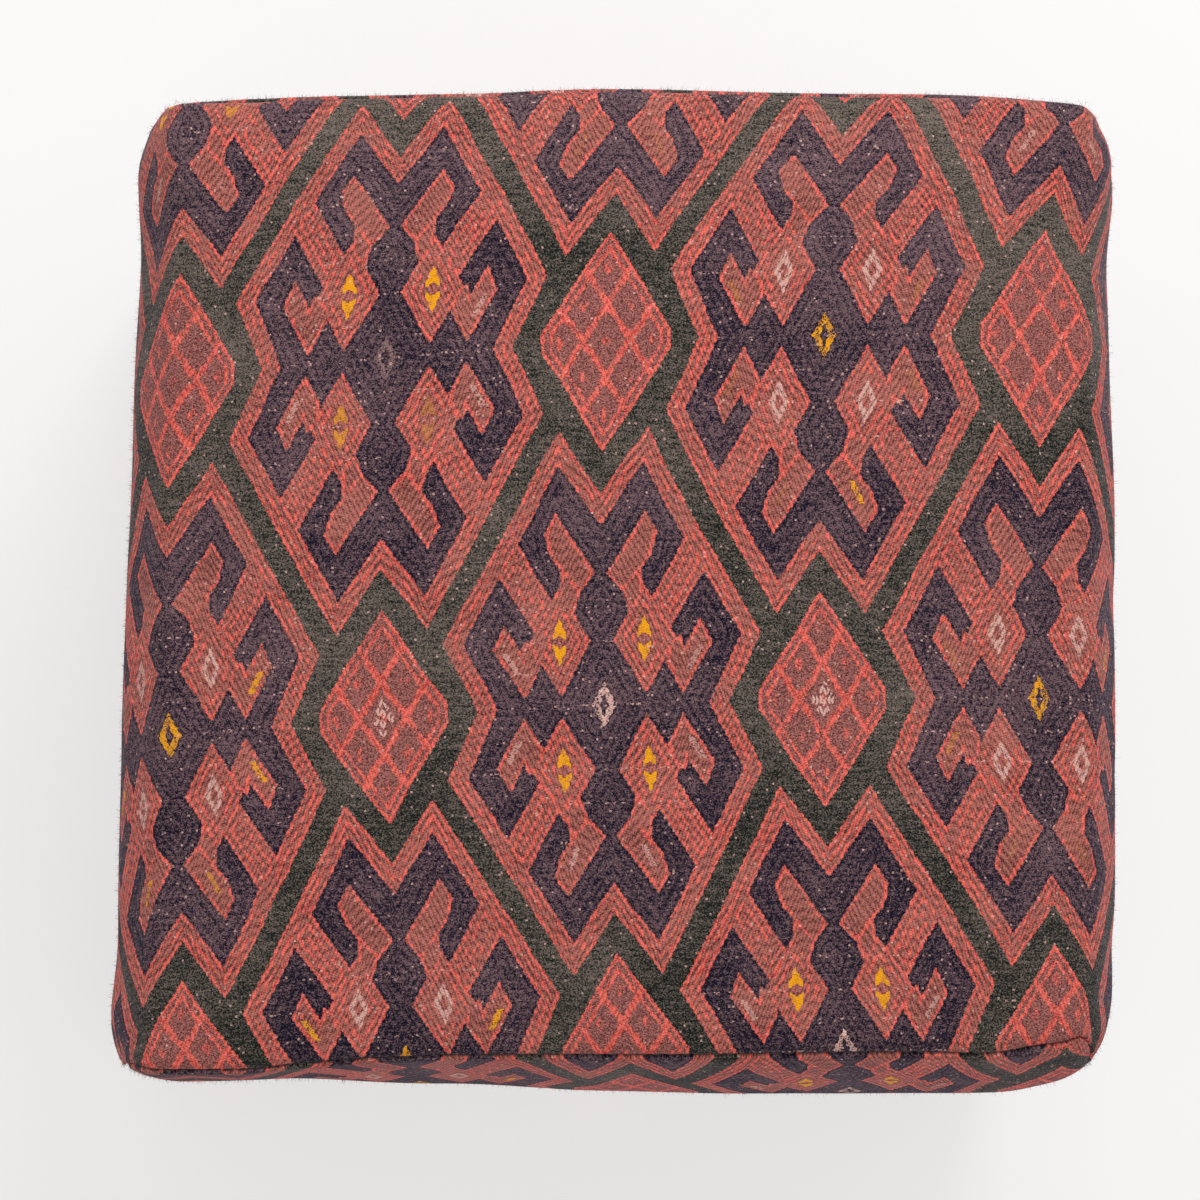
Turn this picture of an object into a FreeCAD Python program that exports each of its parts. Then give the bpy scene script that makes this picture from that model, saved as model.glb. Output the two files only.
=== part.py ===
"""Cube floor pouf: a kilim cover with a zipped canvas base, over wadding and a bagged foam block.

Millimetres. Z is up, the pouf stands on Z = 0 with its middle on the Z axis, and -Y is its front.
"""
import FreeCAD, Part
import math
import os

import Sketcher

Vector = FreeCAD.Vector

SIZES = (
    ("width", 450, "side to side at the belly"),
    ("depth", 450, "front to back at the belly"),
    ("height", 400, "floor to the top of the crown"),
    ("side_bulge", 2.5, "swell of the left and right sides over half the depth"),
    ("shoulder", 54, "top of the crown to the fullest line of the front and back panels"),
    ("front_draw", 14, "front panel drawn in at its top, from its fullest line"),
    ("back_draw", 5, "back panel drawn in at its top, from its fullest line"),
    ("base_draw", 14, "front and back panels drawn in at the floor, from their fullest line"),
    ("crown", 10, "rise of the top over half the width"),
    ("edge_radius", 26, "roll of the folded left and right edges"),
    ("kilim_thickness", 3, "kilim cloth"),
    ("base_thickness", 3, "doubled canvas of the base"),
    ("seam_width", 1.2, "stitch line between two panels"),
    ("seam_sink", 0.8, "stitches below the face of the cloth"),
    ("base_setback", 26, "belly to the seam between a side and the base"),
    ("insert_gap", 0.4, "slack between cover and insert"),
    ("liner_thickness", 0.8, "calico bag round the foam"),
    ("wadding_thickness", 14, "fibre wadding round the bag, at its thinnest"),
    ("wadding_split", 60, "top of the crown to the join of the two waddings"),
    ("foam_top", 80, "top of the crown to the joint under the soft slab"),
    ("foam_base", 120, "floor to the joint over the firm slab"),
    ("bed_end", 31, "belly to the end of the zip's raised bed"),
    ("bed_width", 88, "raised bed of the zip, along the floor"),
    ("bed_run_end", 10, "slope at each end of the bed"),
    ("bed_run_side", 18, "slope at each side of the bed"),
    ("zip_rise", 4.6, "floor to the cloth at the zip"),
    ("zip_room", 8.4, "height of the hollow over the zip, in the wadding"),
    ("zip_room_margin", 3, "reach of that hollow past the bed, all round"),
    ("slot_end", 42, "belly to the end of the zip's opening in the base cloth"),
    ("slot_width", 14, "opening in the base cloth"),
    ("tape_width", 16, "one zip tape"),
    ("tape_thickness", 0.7, "one zip tape"),
    ("tape_edge", 2.6, "middle of the zip to a tape"),
    ("stitch_line", 13, "middle of the zip to the stitches in a tape"),
    ("stitch_width", 0.9, "zip stitches"),
    ("stitch_height", 0.4, "zip stitches"),
    ("tooth_pitch", 5.5, "spacing of the teeth in one row"),
    ("tooth_thickness", 2.6, "height of a tooth"),
    ("tooth_root", 4, "middle of the zip to the back of a tooth"),
    ("tooth_root_half", 1.2, "half width of a tooth on the tape"),
    ("tooth_neck_half", 0.9, "half width of its neck"),
    ("tooth_head_half", 1.5, "half width of its head"),
    ("tooth_tip_half", 1, "half width of its tip"),
    ("tooth_tip", 1.25, "middle of the zip to the tip"),
    ("chain_spare", 46, "length of the opening that has no teeth"),
    ("tape_tail", 12, "tape past the bottom stop"),
    ("slider_rear", 10, "slider behind its hinge line"),
    ("slider_front", 11, "slider ahead of its hinge line"),
    ("slider_throat", 10.8, "width at the closed teeth"),
    ("slider_mouth", 12.6, "width at the open teeth"),
    ("slider_plate", 1.2, "each plate of the slider"),
    ("slider_play", 0.3, "slider to the teeth"),
    ("slider_overlap", 8, "closed teeth inside the slider at rest"),
    ("post_half", 1.3, "half width of the wedge that parts the teeth"),
    ("arch_length", 9, "lug on the slider"),
    ("arch_width", 2.4, "lug on the slider"),
    ("arch_wall", 1, "metal of the lug"),
    ("arch_opening", 2.2, "room for the pull's bar under the lug"),
    ("bar_diameter", 1.6, "bar of the pull under the lug"),
    ("pull_length", 24, "bar to the tip of the pull"),
    ("pull_width", 8, "pull tab"),
    ("pull_thickness", 1.5, "pull tab"),
    ("pull_arm", 2, "each arm beside the lug"),
    ("pull_window", 7.5, "opening in the pull for the lug"),
    ("stop_length", 5, "zip stops"),
    ("stop_height", 4.6, "zip stops"),
    ("stop_reach", 5.6, "middle of the zip to the side of a stop"),
    ("stop_gap", 0.4, "slider or teeth to a stop"),
)

# Far enough past the ends for a part that another one trims
REACH = 60

doc = FreeCAD.newDocument("KilimPouf")
sheet = doc.addObject("Spreadsheet::Sheet", "Sizes")
for row, (alias, value, note) in enumerate(SIZES, 1):
    sheet.set(f"A{row}", note)
    sheet.set(f"B{row}", str(value))
    sheet.setAlias(f"B{row}", alias)
probe = doc.addObject("App::FeaturePython", "Probe")
probe.addProperty("App::PropertyFloat", "Value")
doc.recompute()


def bound(text):
    """Return an expression with each size's alias tied to the sheet."""
    words = "".join(c if c.isalnum() or c == "_" else " " for c in text).split()
    names = {alias for alias, _, _ in SIZES}
    for word in sorted(set(words) & names, key=len, reverse=True):
        text = replace_word(text, word, f"Sizes.{word}")
    return text


def replace_word(text, word, new):
    """Replace a whole word in an expression."""
    out, at = "", 0
    while at < len(text):
        end = at
        while end < len(text) and (text[end].isalnum() or text[end] in "_."):
            end += 1
        token = text[at:end] if end > at else text[at]
        out += new if token == word else token
        at += len(token)
    return out


def tie(obj, **sizes):
    """Bind properties of an object to the sheet; x, y and z are its place."""
    for prop, text in sizes.items():
        path = f"Placement.Base.{prop}" if prop in ("x", "y", "z") else prop
        obj.setExpression(path, bound(text))
    return obj


def box(name, x, y, z):
    """Make a box from three pairs of expressions, its low and high faces."""
    obj = doc.addObject("Part::Box", name)
    tie(obj, Length=f"({x[1]}) - ({x[0]})", Width=f"({y[1]}) - ({y[0]})", Height=f"({z[1]}) - ({z[0]})")
    return tie(obj, x=x[0], y=y[0], z=z[0])


def cut(name, base, tool):
    obj = doc.addObject("Part::Cut", name)
    obj.Base = base
    obj.Tool = tool
    return obj


def common(name, *shapes):
    obj = doc.addObject("Part::MultiCommon", name)
    obj.Shapes = list(shapes)
    return obj


def fuse(name, *shapes):
    obj = doc.addObject("Part::MultiFuse", name)
    obj.Shapes = list(shapes)
    return obj


# Soft forms: five large spheres and the floor, with the folds rolled over by a ball

SIDE_RADIUS = "((depth / 2)^2 + side_bulge^2) / (2 * side_bulge)"
FULLEST = "(height - shoulder)"
LOWER_RADIUS = f"(({FULLEST}^2 + base_draw^2) / (2 * base_draw))"
TOP_RADIUS = "((width / 2)^2 + crown^2) / (2 * crown)"


def sphere(name, radius, inset, inward, **place):
    """Make a sphere whose seam and poles lie on its far side, away from the cloth."""
    obj = doc.addObject("Part::Sphere", name)
    pole = Vector(0, 1, 0) if inward.y == 0 else Vector(1, 0, 0)
    obj.Placement = FreeCAD.Placement(Vector(), FreeCAD.Rotation(inward, Vector(), pole, "XZY"))
    return tie(obj, Radius=f"{radius} - ({inset})", **place)


def end_form(name, inset, side):
    """Make the block whose outside is the front (side -1) or back (side 1) panel.

    Two arcs meet at the panel's fullest line: a tight one up to the top and a slack one down to the floor.
    """
    draw = "front_draw" if side < 0 else "back_draw"
    height, fullest, spare = size("height"), size(FULLEST), size("seam_width")
    full_y, far_y = size("depth / 2"), size("depth")
    upper, lower = size(f"(shoulder^2 + {draw}^2) / (2 * {draw})"), size(LOWER_RADIUS)

    def on_arc(radius, z):
        """Return the point at a height on an arc that is centred level with the fullest line."""
        reach = math.sqrt((radius - size(inset)) ** 2 - (z - fullest) ** 2)
        return Vector(-size("width"), side * (full_y - radius + reach), z)

    top, bottom = height + spare, -spare
    upper_arc = Part.Arc(
        on_arc(upper, top), on_arc(upper, (top + fullest) / 2), on_arc(upper, fullest)).toShape()
    lower_arc = Part.Arc(
        on_arc(lower, fullest), on_arc(lower, (bottom + fullest) / 2), on_arc(lower, bottom)).toShape()
    far_low, far_high = Vector(-size("width"), -side * far_y, bottom), Vector(-size("width"), -side * far_y, top)
    rest = Part.makePolygon([on_arc(lower, bottom), far_low, far_high, on_arc(upper, top)])
    wire = Part.Wire(Part.__sortEdges__([upper_arc, lower_arc] + rest.Edges))
    obj = doc.addObject("Part::Feature", name)
    obj.Shape = Part.Face(wire).extrude(Vector(2 * size("width"), 0, 0))
    return obj


def core(name, inset, base, ends):
    """Make the sharp-edged block inside a soft form."""
    left = sphere(
        f"{name}_left", SIDE_RADIUS, inset, Vector(1, 0, 0), x=f"{SIDE_RADIUS} - width / 2", z="height / 2")
    right = sphere(
        f"{name}_right", SIDE_RADIUS, inset, Vector(-1, 0, 0), x=f"width / 2 - {SIDE_RADIUS}", z="height / 2")
    crown = sphere(f"{name}_top", TOP_RADIUS, inset, Vector(0, 0, -1), z=f"height - {TOP_RADIUS}")
    floor = box(f"{name}_floor", ("-width", "width"), ("-depth", "depth"), (base, "2 * height"))
    front = sphere(
        f"{name}_front", SIDE_RADIUS, ends, Vector(0, 1, 0), y=f"{SIDE_RADIUS} - depth / 2", z="height / 2")
    back = sphere(
        f"{name}_back", SIDE_RADIUS, ends, Vector(0, -1, 0), y=f"depth / 2 - {SIDE_RADIUS}", z="height / 2")
    return common(f"{name}_core", floor, left, right, crown, front, back)


def patch(surface, wire):
    face = Part.Face(surface, wire)
    face.validate()
    return face


def rolled(block, radius):
    """Return the solid that a ball leaves when it rolls all over a block of spheres and planes.

    Its edges are exact tori and its corners exact balls, where a fillet would give heavy splines.
    """
    def lifted(face, point):
        return point + face.normalAt(*face.Surface.parameter(point)) * radius

    def arc(start, centre, end):
        middle = centre + (start + end - centre * 2).normalize() * radius
        return Part.Arc(start, middle, end).toShape()

    skins = []
    for face in block.Faces:
        edges = []
        for edge in face.Edges:
            first, last = edge.ParameterRange
            points = [lifted(face, edge.valueAt(at)) for at in (first, (first + last) / 2, last)]
            edges.append(Part.Arc(*points).toShape())
        wire = Part.Wire(Part.__sortEdges__(edges))
        surface = face.Surface.copy()
        if surface.TypeId == "Part::GeomSphere":
            surface.Radius += radius
            skins.append(patch(surface, wire))
        else:
            skins.append(Part.Face(wire))
    for edge in block.Edges:
        one, two = (face for face in block.Faces if any(edge.isSame(e) for e in face.Edges))
        first, last = edge.ParameterRange
        start = edge.valueAt(first)
        rib = arc(lifted(one, start), start, lifted(two, start))
        skins.append(rib.revolve(edge.Curve.Center, edge.Curve.Axis, math.degrees(last - first)))
    for vertex in block.Vertexes:
        at = vertex.Point
        a, b, c = (lifted(f, at) for f in block.Faces if any(vertex.isSame(v) for v in f.Vertexes))
        wire = Part.Wire(Part.__sortEdges__([arc(a, at, b), arc(b, at, c), arc(c, at, a)]))
        inward = at * 3 - a - b - c
        ball = Part.makeSphere(radius)
        ball.Placement = FreeCAD.Placement(at, FreeCAD.Rotation(inward, Vector(), a - b, "XZY"))
        skins.append(patch(ball.Faces[0].Surface, wire))
    shell = Part.makeShell(skins)
    shell.sewShape()
    return Part.Solid(shell)


def size(text):
    """Return the value of an expression of sizes."""
    probe.setExpression("Value", bound(text))
    probe.recompute()
    return probe.Value


def tube(name, inset, base, radius):
    """Make the rolled form of top, sides and base, open past both ends."""
    inner = core(name, f"{inset} + {radius}", f"{base} + {radius}", f"{inset} - {REACH}")
    doc.recompute()
    obj = doc.addObject("Part::Feature", name)
    obj.Shape = rolled(inner.Shape, size(radius))
    return obj


KILIM = "kilim_thickness"
BASE = "base_thickness"
SLACK = "kilim_thickness + insert_gap"
INNER_ROLL = "edge_radius - kilim_thickness"
SEAM = "kilim_thickness + seam_width"

# Cover: saddle, front, back and base, with a line of stitches in each seam

tube_out = tube("tube_out", "0", "0", "edge_radius")
tube_in = tube("tube_in", KILIM, BASE, INNER_ROLL)
tube_stitch = tube("tube_stitch", "seam_sink", "seam_sink", "edge_radius - seam_sink")
wall = cut("cover_wall", tube_out, tube_in)
stitch_wall = cut("stitch_wall", tube_stitch, tube_in)


def ends(name, inset):
    return end_form(f"{name}_front", inset, -1), end_form(f"{name}_back", inset, 1)


outside = ends("outside", "0")
behind = ends("behind", KILIM)
between = ends("between", SEAM)

whole = common("whole", tube_out, *outside)
kilim_front = cut("kilim_front", whole, behind[0])
kilim_back = cut("kilim_back", whole, behind[1])

LOW = ("-1", "height / 4")
ACROSS = ("-depth", "depth")
SIDE_SEAM = "width / 2 - base_setback"
strip = common("strip", wall, *between)
base_hole = box("base_hole", (f"-({SIDE_SEAM})", SIDE_SEAM), ACROSS, LOW)
kilim_saddle = cut("kilim_saddle", strip, base_hole)

stitch_loops = common("stitch_loops", stitch_wall, *behind)
front_seam = cut("front_seam", stitch_loops, between[0])
back_seam = cut("back_seam", stitch_loops, between[1])

stitch_strip = common("stitch_strip", stitch_wall, *between)
side_slabs = [
    box(f"side_slab_{side}", sorted_pair, ACROSS, LOW)
    for side, sorted_pair in (
        ("left", (f"-({SIDE_SEAM})", f"seam_width - ({SIDE_SEAM})")),
        ("right", (f"{SIDE_SEAM} - seam_width", SIDE_SEAM)))]
side_base_seams = common("side_base_seams", stitch_strip, fuse("side_slabs", *side_slabs))


def bed(name, floor, rise, margin):
    """Make the flat-topped hump that the zip lies in, tapered upwards."""
    obj = doc.addObject("Part::Wedge", name)
    obj.Placement = FreeCAD.Placement(Vector(), FreeCAD.Rotation(Vector(1, 0, 0), 90))
    long, wide = f"(width / 2 - bed_end + {margin})", f"(bed_width / 2 + {margin})"
    tie(obj, Ymin="0", Ymax=rise, z=floor)
    tie(obj, Xmin=f"-{long}", Xmax=long, Zmin=f"-{wide}", Zmax=wide)
    tie(obj, X2min=f"bed_run_end - {long}", X2max=f"{long} - bed_run_end")
    return tie(obj, Z2min=f"bed_run_side - {wide}", Z2max=f"{wide} - bed_run_side")


INSIDE = f"({SIDE_SEAM} - seam_width)"
base_field = box("base_field", (f"-{INSIDE}", INSIDE), ACROSS, LOW)
base_plate = common("base_plate", strip, base_field)
base_hump = fuse("base_hump", base_plate, bed("cloth_bed", BASE, "zip_rise", "0"))
ALONG_SLOT = ("slot_end - width / 2", "width / 2 - slot_end")
slot = box("slot", ALONG_SLOT, ("-slot_width / 2", "slot_width / 2"), LOW)
base_sheet = cut("base_sheet", base_hump, fuse("base_opening", bed("floor_bed", "0", "zip_rise", "0"), slot))

LINE = "seam_width / 2"
FULL = ("-width", "width")
base_cloth_front = common("base_cloth_front", base_sheet, box("half_front", FULL, ("-depth", f"-{LINE}"), LOW))
base_cloth_back = common("base_cloth_back", base_sheet, box("half_back", FULL, (LINE, "depth"), LOW))
base_centre_seams = common(
    "base_centre_seams", base_sheet, box("half_line", FULL, (f"-{LINE}", LINE), LOW))

# Insert: three foam slabs in a calico bag, with fibre wadding between the bag and the cover

INSET = f"({SLACK} + wadding_thickness)"
BAG_X = f"(width / 2 - side_bulge - {INSET})"
BAG_Y = f"(depth / 2 - base_draw - {INSET})"
BAG_LOW = "(base_thickness + wadding_thickness)"
BAG_HIGH = f"(height - crown - {INSET})"
FOAM_LOW = f"({BAG_LOW} + liner_thickness)"
FOAM_HIGH = f"({BAG_HIGH} - liner_thickness)"


def block(name, inset, low, high):
    """Make a square-edged block inside the wadding, between two heights."""
    x, y = f"({BAG_X} - {inset})", f"({BAG_Y} - {inset})"
    return box(name, (f"-{x}", x), (f"-{y}", y), (low, high))


bag = block("bag", "0", BAG_LOW, BAG_HIGH)
bag_floor = block("bag_floor", "0", BAG_LOW, FOAM_LOW)
bag_wall = cut("bag_wall", bag, block("bag_room", "liner_thickness", FOAM_LOW, FOAM_HIGH))
liner_bag = cut("liner_bag", bag_wall, bag_floor)
liner_base = common("liner_base", bag_wall, bag_floor)

WADDING_JOIN = "height - wadding_split"
SOFT_JOIN = "height - foam_top"
pad = common("pad", tube("tube_pad", SLACK, BASE, INNER_ROLL), *ends("pad", SLACK))
wadding = cut("wadding", pad, fuse("wadding_hole", bag, bed("zip_bed", BASE, "zip_room", "zip_room_margin")))
wadding_top = common("wadding_top", wadding, box("over_join", FULL, ACROSS, (WADDING_JOIN, "2 * height")))
wadding_wrap = common("wadding_wrap", wadding, box("under_join", FULL, ACROSS, ("-1", WADDING_JOIN)))
foam_top_slab = block("foam_top_slab", "liner_thickness", SOFT_JOIN, FOAM_HIGH)
foam_middle_slab = block("foam_middle_slab", "liner_thickness", "foam_base", SOFT_JOIN)
foam_base_slab = block("foam_base_slab", "liner_thickness", FOAM_LOW, "foam_base")

# Zip: two tapes sewn under the slot, two rows of moulded teeth, slider, pull and stops

TAPE_LOW = "zip_rise + base_thickness"
CHAIN = f"({TAPE_LOW} + tape_thickness / 2)"
TAPE_OUT = "tape_edge + tape_width"
TEETH = "floor((width - 2 * slot_end - chain_spare) / tooth_pitch)"
REAR_STOP = "slot_end - width / 2 + tape_tail"
CHAIN_START = f"({REAR_STOP} + stop_length + stop_gap)"
TAPE_HIGH = (TAPE_LOW, f"{TAPE_LOW} + tape_thickness")
zip_tape_front = box("zip_tape_front", ALONG_SLOT, (f"-({TAPE_OUT})", "-tape_edge"), TAPE_HIGH)
zip_tape_back = box("zip_tape_back", ALONG_SLOT, ("tape_edge", TAPE_OUT), TAPE_HIGH)

STITCH_HIGH = ("zip_rise - stitch_height", "zip_rise")
zip_stitching = fuse(
    "zip_stitching",
    box("stitch_front", ALONG_SLOT, ("-stitch_line - stitch_width", "-stitch_line"), STITCH_HIGH),
    box("stitch_back", ALONG_SLOT, ("stitch_line", "stitch_line + stitch_width"), STITCH_HIGH))


def plane(body, role):
    return next(item for item in body.Origin.OriginFeatures if item.Role == role)


def outline(body, name, role, points):
    """Draw a closed outline of straight edges, each corner tied to the sheet by its two distances."""
    sketch = body.newObject("Sketcher::SketchObject", name)
    sketch.AttachmentSupport = [(plane(body, role), "")]
    sketch.MapMode = "FlatFace"
    corners = [Vector(size(x), size(y)) for x, y in points]
    for start, end in zip(corners, corners[1:] + corners[:1]):
        sketch.addGeometry(Part.LineSegment(start, end), False)
    last = len(points) - 1
    for at, (x, y) in enumerate(points):
        sketch.addConstraint(Sketcher.Constraint("Coincident", at, 1, at - 1 if at else last, 2))
        for kind, text in (("DistanceX", x), ("DistanceY", y)):
            index = sketch.addConstraint(Sketcher.Constraint(kind, -1, 1, at, 1, size(text)))
            sketch.setExpression(f"Constraints[{index}]", bound(text))
    return sketch


def solid(body, kind, sketch, length, offset=None):
    """Pad or pocket a sketch to both sides of its plane, which an offset may lift."""
    feature = body.newObject(f"PartDesign::{kind}", f"{sketch.Name}_{kind.lower()}")
    feature.Profile = sketch
    feature.SideType = "Symmetric"
    feature.setExpression("Length", bound(length))
    if offset:
        sketch.setExpression("AttachmentOffset.Base.z", bound(offset))
    doc.recompute()
    return feature


def mirrored(points):
    """Return an outline given by its +X half, whose corners are in order from low to high Y."""
    return points + [(f"-({x})", y) for x, y in reversed(points)]


def teeth(name, side, shift):
    """Make one row of teeth; side is -1 for the front tape and 1 for the back one."""
    body = doc.addObject("PartDesign::Body", name)
    body.AllowCompound = True
    profile = [
        ("tooth_root_half", "tooth_root"),
        ("tooth_neck_half", "tooth_root * 0.2"),
        ("tooth_head_half", "-tooth_tip * 0.3"),
        ("tooth_tip_half", "-tooth_tip")]
    sketch = outline(body, f"{name}_outline", "XY_Plane", mirrored([(x, f"{side} * ({y})") for x, y in profile]))
    pad = solid(body, "Pad", sketch, "tooth_thickness")
    low, high = sorted(("tape_edge", "tooth_root + 1"), key=lambda y: side * size(y))
    groove = [
        (f"{side} * ({low})", "-tape_thickness / 2"), (f"{side} * ({high})", "-tape_thickness / 2"),
        (f"{side} * ({high})", "tape_thickness / 2"), (f"{side} * ({low})", "tape_thickness / 2")]
    grip = solid(body, "Pocket", outline(body, f"{name}_grip", "YZ_Plane", groove), "tooth_pitch")
    row = body.newObject("PartDesign::LinearPattern", f"{name}_row")
    row.Originals = [pad, grip]
    row.Direction = (plane(body, "YZ_Plane"), [""])
    row.Mode = "Spacing"
    row.setExpression("Offset", bound("tooth_pitch"))
    row.setExpression("Occurrences", bound(TEETH))
    body.Tip = row
    return tie(body, x=f"{CHAIN_START} + {shift}", z=CHAIN)


zip_teeth_front = teeth("zip_teeth_front", -1, "tooth_pitch / 4")
zip_teeth_back = teeth("zip_teeth_back", 1, "tooth_pitch * 3 / 4")

# The slider's own origin is on its hinge line, above which the chain runs
CHAIN_END = f"({CHAIN_START} + tooth_pitch * {TEETH})"
HINGE_X = f"({CHAIN_END} - slider_overlap + slider_rear)"
GAP = "(tooth_thickness + 2 * slider_play)"
TALL = f"({GAP} + 2 * slider_plate)"
HINGE_Z = f"({CHAIN} - {TALL} / 2 - arch_opening / 2)"


def zip_slider_body():
    body = doc.addObject("PartDesign::Body", "zip_slider")
    lift = f"{TALL} / 2 + arch_opening / 2"
    shield = [
        ("-slider_rear", "slider_throat / 2 - 1"), ("1 - slider_rear", "slider_throat / 2"),
        ("slider_front * 0.1", "slider_throat / 2"), ("slider_front * 0.5", "slider_mouth / 2"),
        ("slider_front - 2", "slider_mouth / 2"), ("slider_front", "slider_mouth / 2 - 2.5")]
    around = shield + [(x, f"-({y})") for x, y in reversed(shield)]
    solid(body, "Pad", outline(body, "slider_plan", "XY_Plane", around), TALL, lift)
    rail = "tooth_root + slider_play"
    wide = "(slider_mouth - slider_throat) / 2"
    low = [("-slider_rear - 1", f"-({rail})"), ("slider_front * 0.1", f"-({rail})"),
           ("slider_front * 0.5", f"-({rail} + {wide})"), ("slider_front + 1", f"-({rail} + {wide})")]
    nose = [("slider_front + 1", "-post_half"), ("slider_front * 0.5", "-post_half"),
            ("slider_front * 0.1", "0"), ("slider_front * 0.5", "post_half"),
            ("slider_front + 1", "post_half")]
    channel = low + nose + [(x, f"-({y})") for x, y in reversed(low)]
    solid(body, "Pocket", outline(body, "slider_channel", "XY_Plane", channel), GAP, lift)
    groove = []
    for y, z in (("post_half", -1), ("slider_mouth", -1), ("slider_mouth", 1), ("post_half", 1)):
        groove.append((y, f"{lift} + {z} * (tape_thickness / 2 + slider_play)"))
    through = "4 * slider_front"
    for side in ("", "-"):
        name = "slider_groove_" + ("front" if side else "back")
        solid(body, "Pocket", outline(body, name, "YZ_Plane", [(f"{side}({y})", z) for y, z in groove]), through)
    top = "arch_opening / 2"
    foot = "arch_opening / 2 + arch_wall"
    hole = "arch_length / 2 - arch_wall"
    arch = [("arch_length / 2", top), ("arch_length / 2", f"-({top})"), (hole, f"-({foot})"),
            (f"-({hole})", f"-({foot})"), ("-arch_length / 2", f"-({top})"), ("-arch_length / 2", top),
            (f"-({hole})", top), (f"-({hole})", f"-({top})"), (hole, f"-({top})"), (hole, top)]
    solid(body, "Pad", outline(body, "slider_arch", "XZ_Plane", arch), "arch_width")
    return tie(body, x=HINGE_X, z=HINGE_Z)


def zip_pull_body():
    body = doc.addObject("PartDesign::Body", "zip_pull")
    half, neck = "pull_width / 2", "arch_width / 2 + pull_arm"
    tab = [("0", neck), ("-pull_window", neck), ("-pull_window - 4", half), ("3 - pull_length", half),
           ("-pull_length", "pull_width / 4")]
    around = tab + [(x, f"-({y})") for x, y in reversed(tab)]
    solid(body, "Pad", outline(body, "pull_plan", "XY_Plane", around), "pull_thickness")
    inner = "pull_width / 2 - pull_arm"
    window = [("1", f"-({inner})"), ("1", inner), ("-pull_window", inner), ("-pull_window", f"-({inner})")]
    solid(body, "Pocket", outline(body, "pull_window", "XY_Plane", window), "2 * pull_thickness")
    bar = body.newObject("Sketcher::SketchObject", "pull_bar")
    bar.AttachmentSupport = [(plane(body, "XZ_Plane"), "")]
    bar.MapMode = "FlatFace"
    bar.addGeometry(Part.Circle(Vector(), Vector(0, 0, 1), size("bar_diameter / 2")), False)
    bar.addConstraint(Sketcher.Constraint("Coincident", 0, 3, -1, 1))
    index = bar.addConstraint(Sketcher.Constraint("Diameter", 0, size("bar_diameter")))
    bar.setExpression(f"Constraints[{index}]", bound("bar_diameter"))
    solid(body, "Pad", bar, f"2 * ({neck})")
    return tie(body, x=HINGE_X, z=HINGE_Z)


zip_slider = zip_slider_body()
zip_pull = zip_pull_body()

STOP_HIGH = (f"{CHAIN} - stop_height / 2", f"{CHAIN} + stop_height / 2")
TAPES = fuse("tapes", zip_tape_front, zip_tape_back)
FRONT_STOP = f"{HINGE_X} + slider_front + stop_gap"
ALONG_FRONT_STOP = (FRONT_STOP, f"{FRONT_STOP} + stop_length")
top_stop_boxes = fuse(
    "top_stop_boxes",
    box("top_stop_front", ALONG_FRONT_STOP, ("-stop_reach", "-post_half"), STOP_HIGH),
    box("top_stop_back", ALONG_FRONT_STOP, ("post_half", "stop_reach"), STOP_HIGH))
zip_top_stops = cut("zip_top_stops", top_stop_boxes, TAPES)
ALONG_REAR_STOP = (REAR_STOP, f"{REAR_STOP} + stop_length")
zip_bottom_stop = cut(
    "zip_bottom_stop",
    box("bottom_stop_box", ALONG_REAR_STOP, ("-stop_reach", "stop_reach"), STOP_HIGH),
    TAPES)

doc.recompute()

PARTS = (
    kilim_saddle, kilim_front, kilim_back, base_cloth_front, base_cloth_back,
    front_seam, back_seam, side_base_seams, base_centre_seams,
    zip_tape_front, zip_tape_back, zip_teeth_front, zip_teeth_back, zip_stitching,
    zip_top_stops, zip_bottom_stop, zip_slider, zip_pull,
    liner_bag, liner_base, wadding_top, wadding_wrap,
    foam_top_slab, foam_middle_slab, foam_base_slab)

faults = [o.Label for o in doc.Objects if {"Invalid", "Error"} & set(o.State)]
faults += [o.Label for o in PARTS if o.Shape.isNull() or not o.Shape.isValid() or o.Shape.Volume <= 0]
if faults:
    raise RuntimeError(f"these did not build: {faults}")

os.makedirs("parts", exist_ok=True)
for part in PARTS:
    part.Shape.exportStep(f"parts/{part.Label}.step")
    reach = part.Shape.optimalBoundingBox(False)
    print(part.Label, len(part.Shape.Solids), "solids", round(part.Shape.Volume / 1000, 2), "cm3",
          [round(v, 2) for v in (reach.XMin, reach.YMin, reach.ZMin, reach.XMax, reach.YMax, reach.ZMax)])
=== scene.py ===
"""Looks of a cube floor pouf in kilim cloth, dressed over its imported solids.

Metres. Z is up, the pouf stands on Z = 0 and -Y is its front.
"""

import math
import random

import bmesh
import bpy
from mathutils import Matrix, Vector, noise


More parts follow.
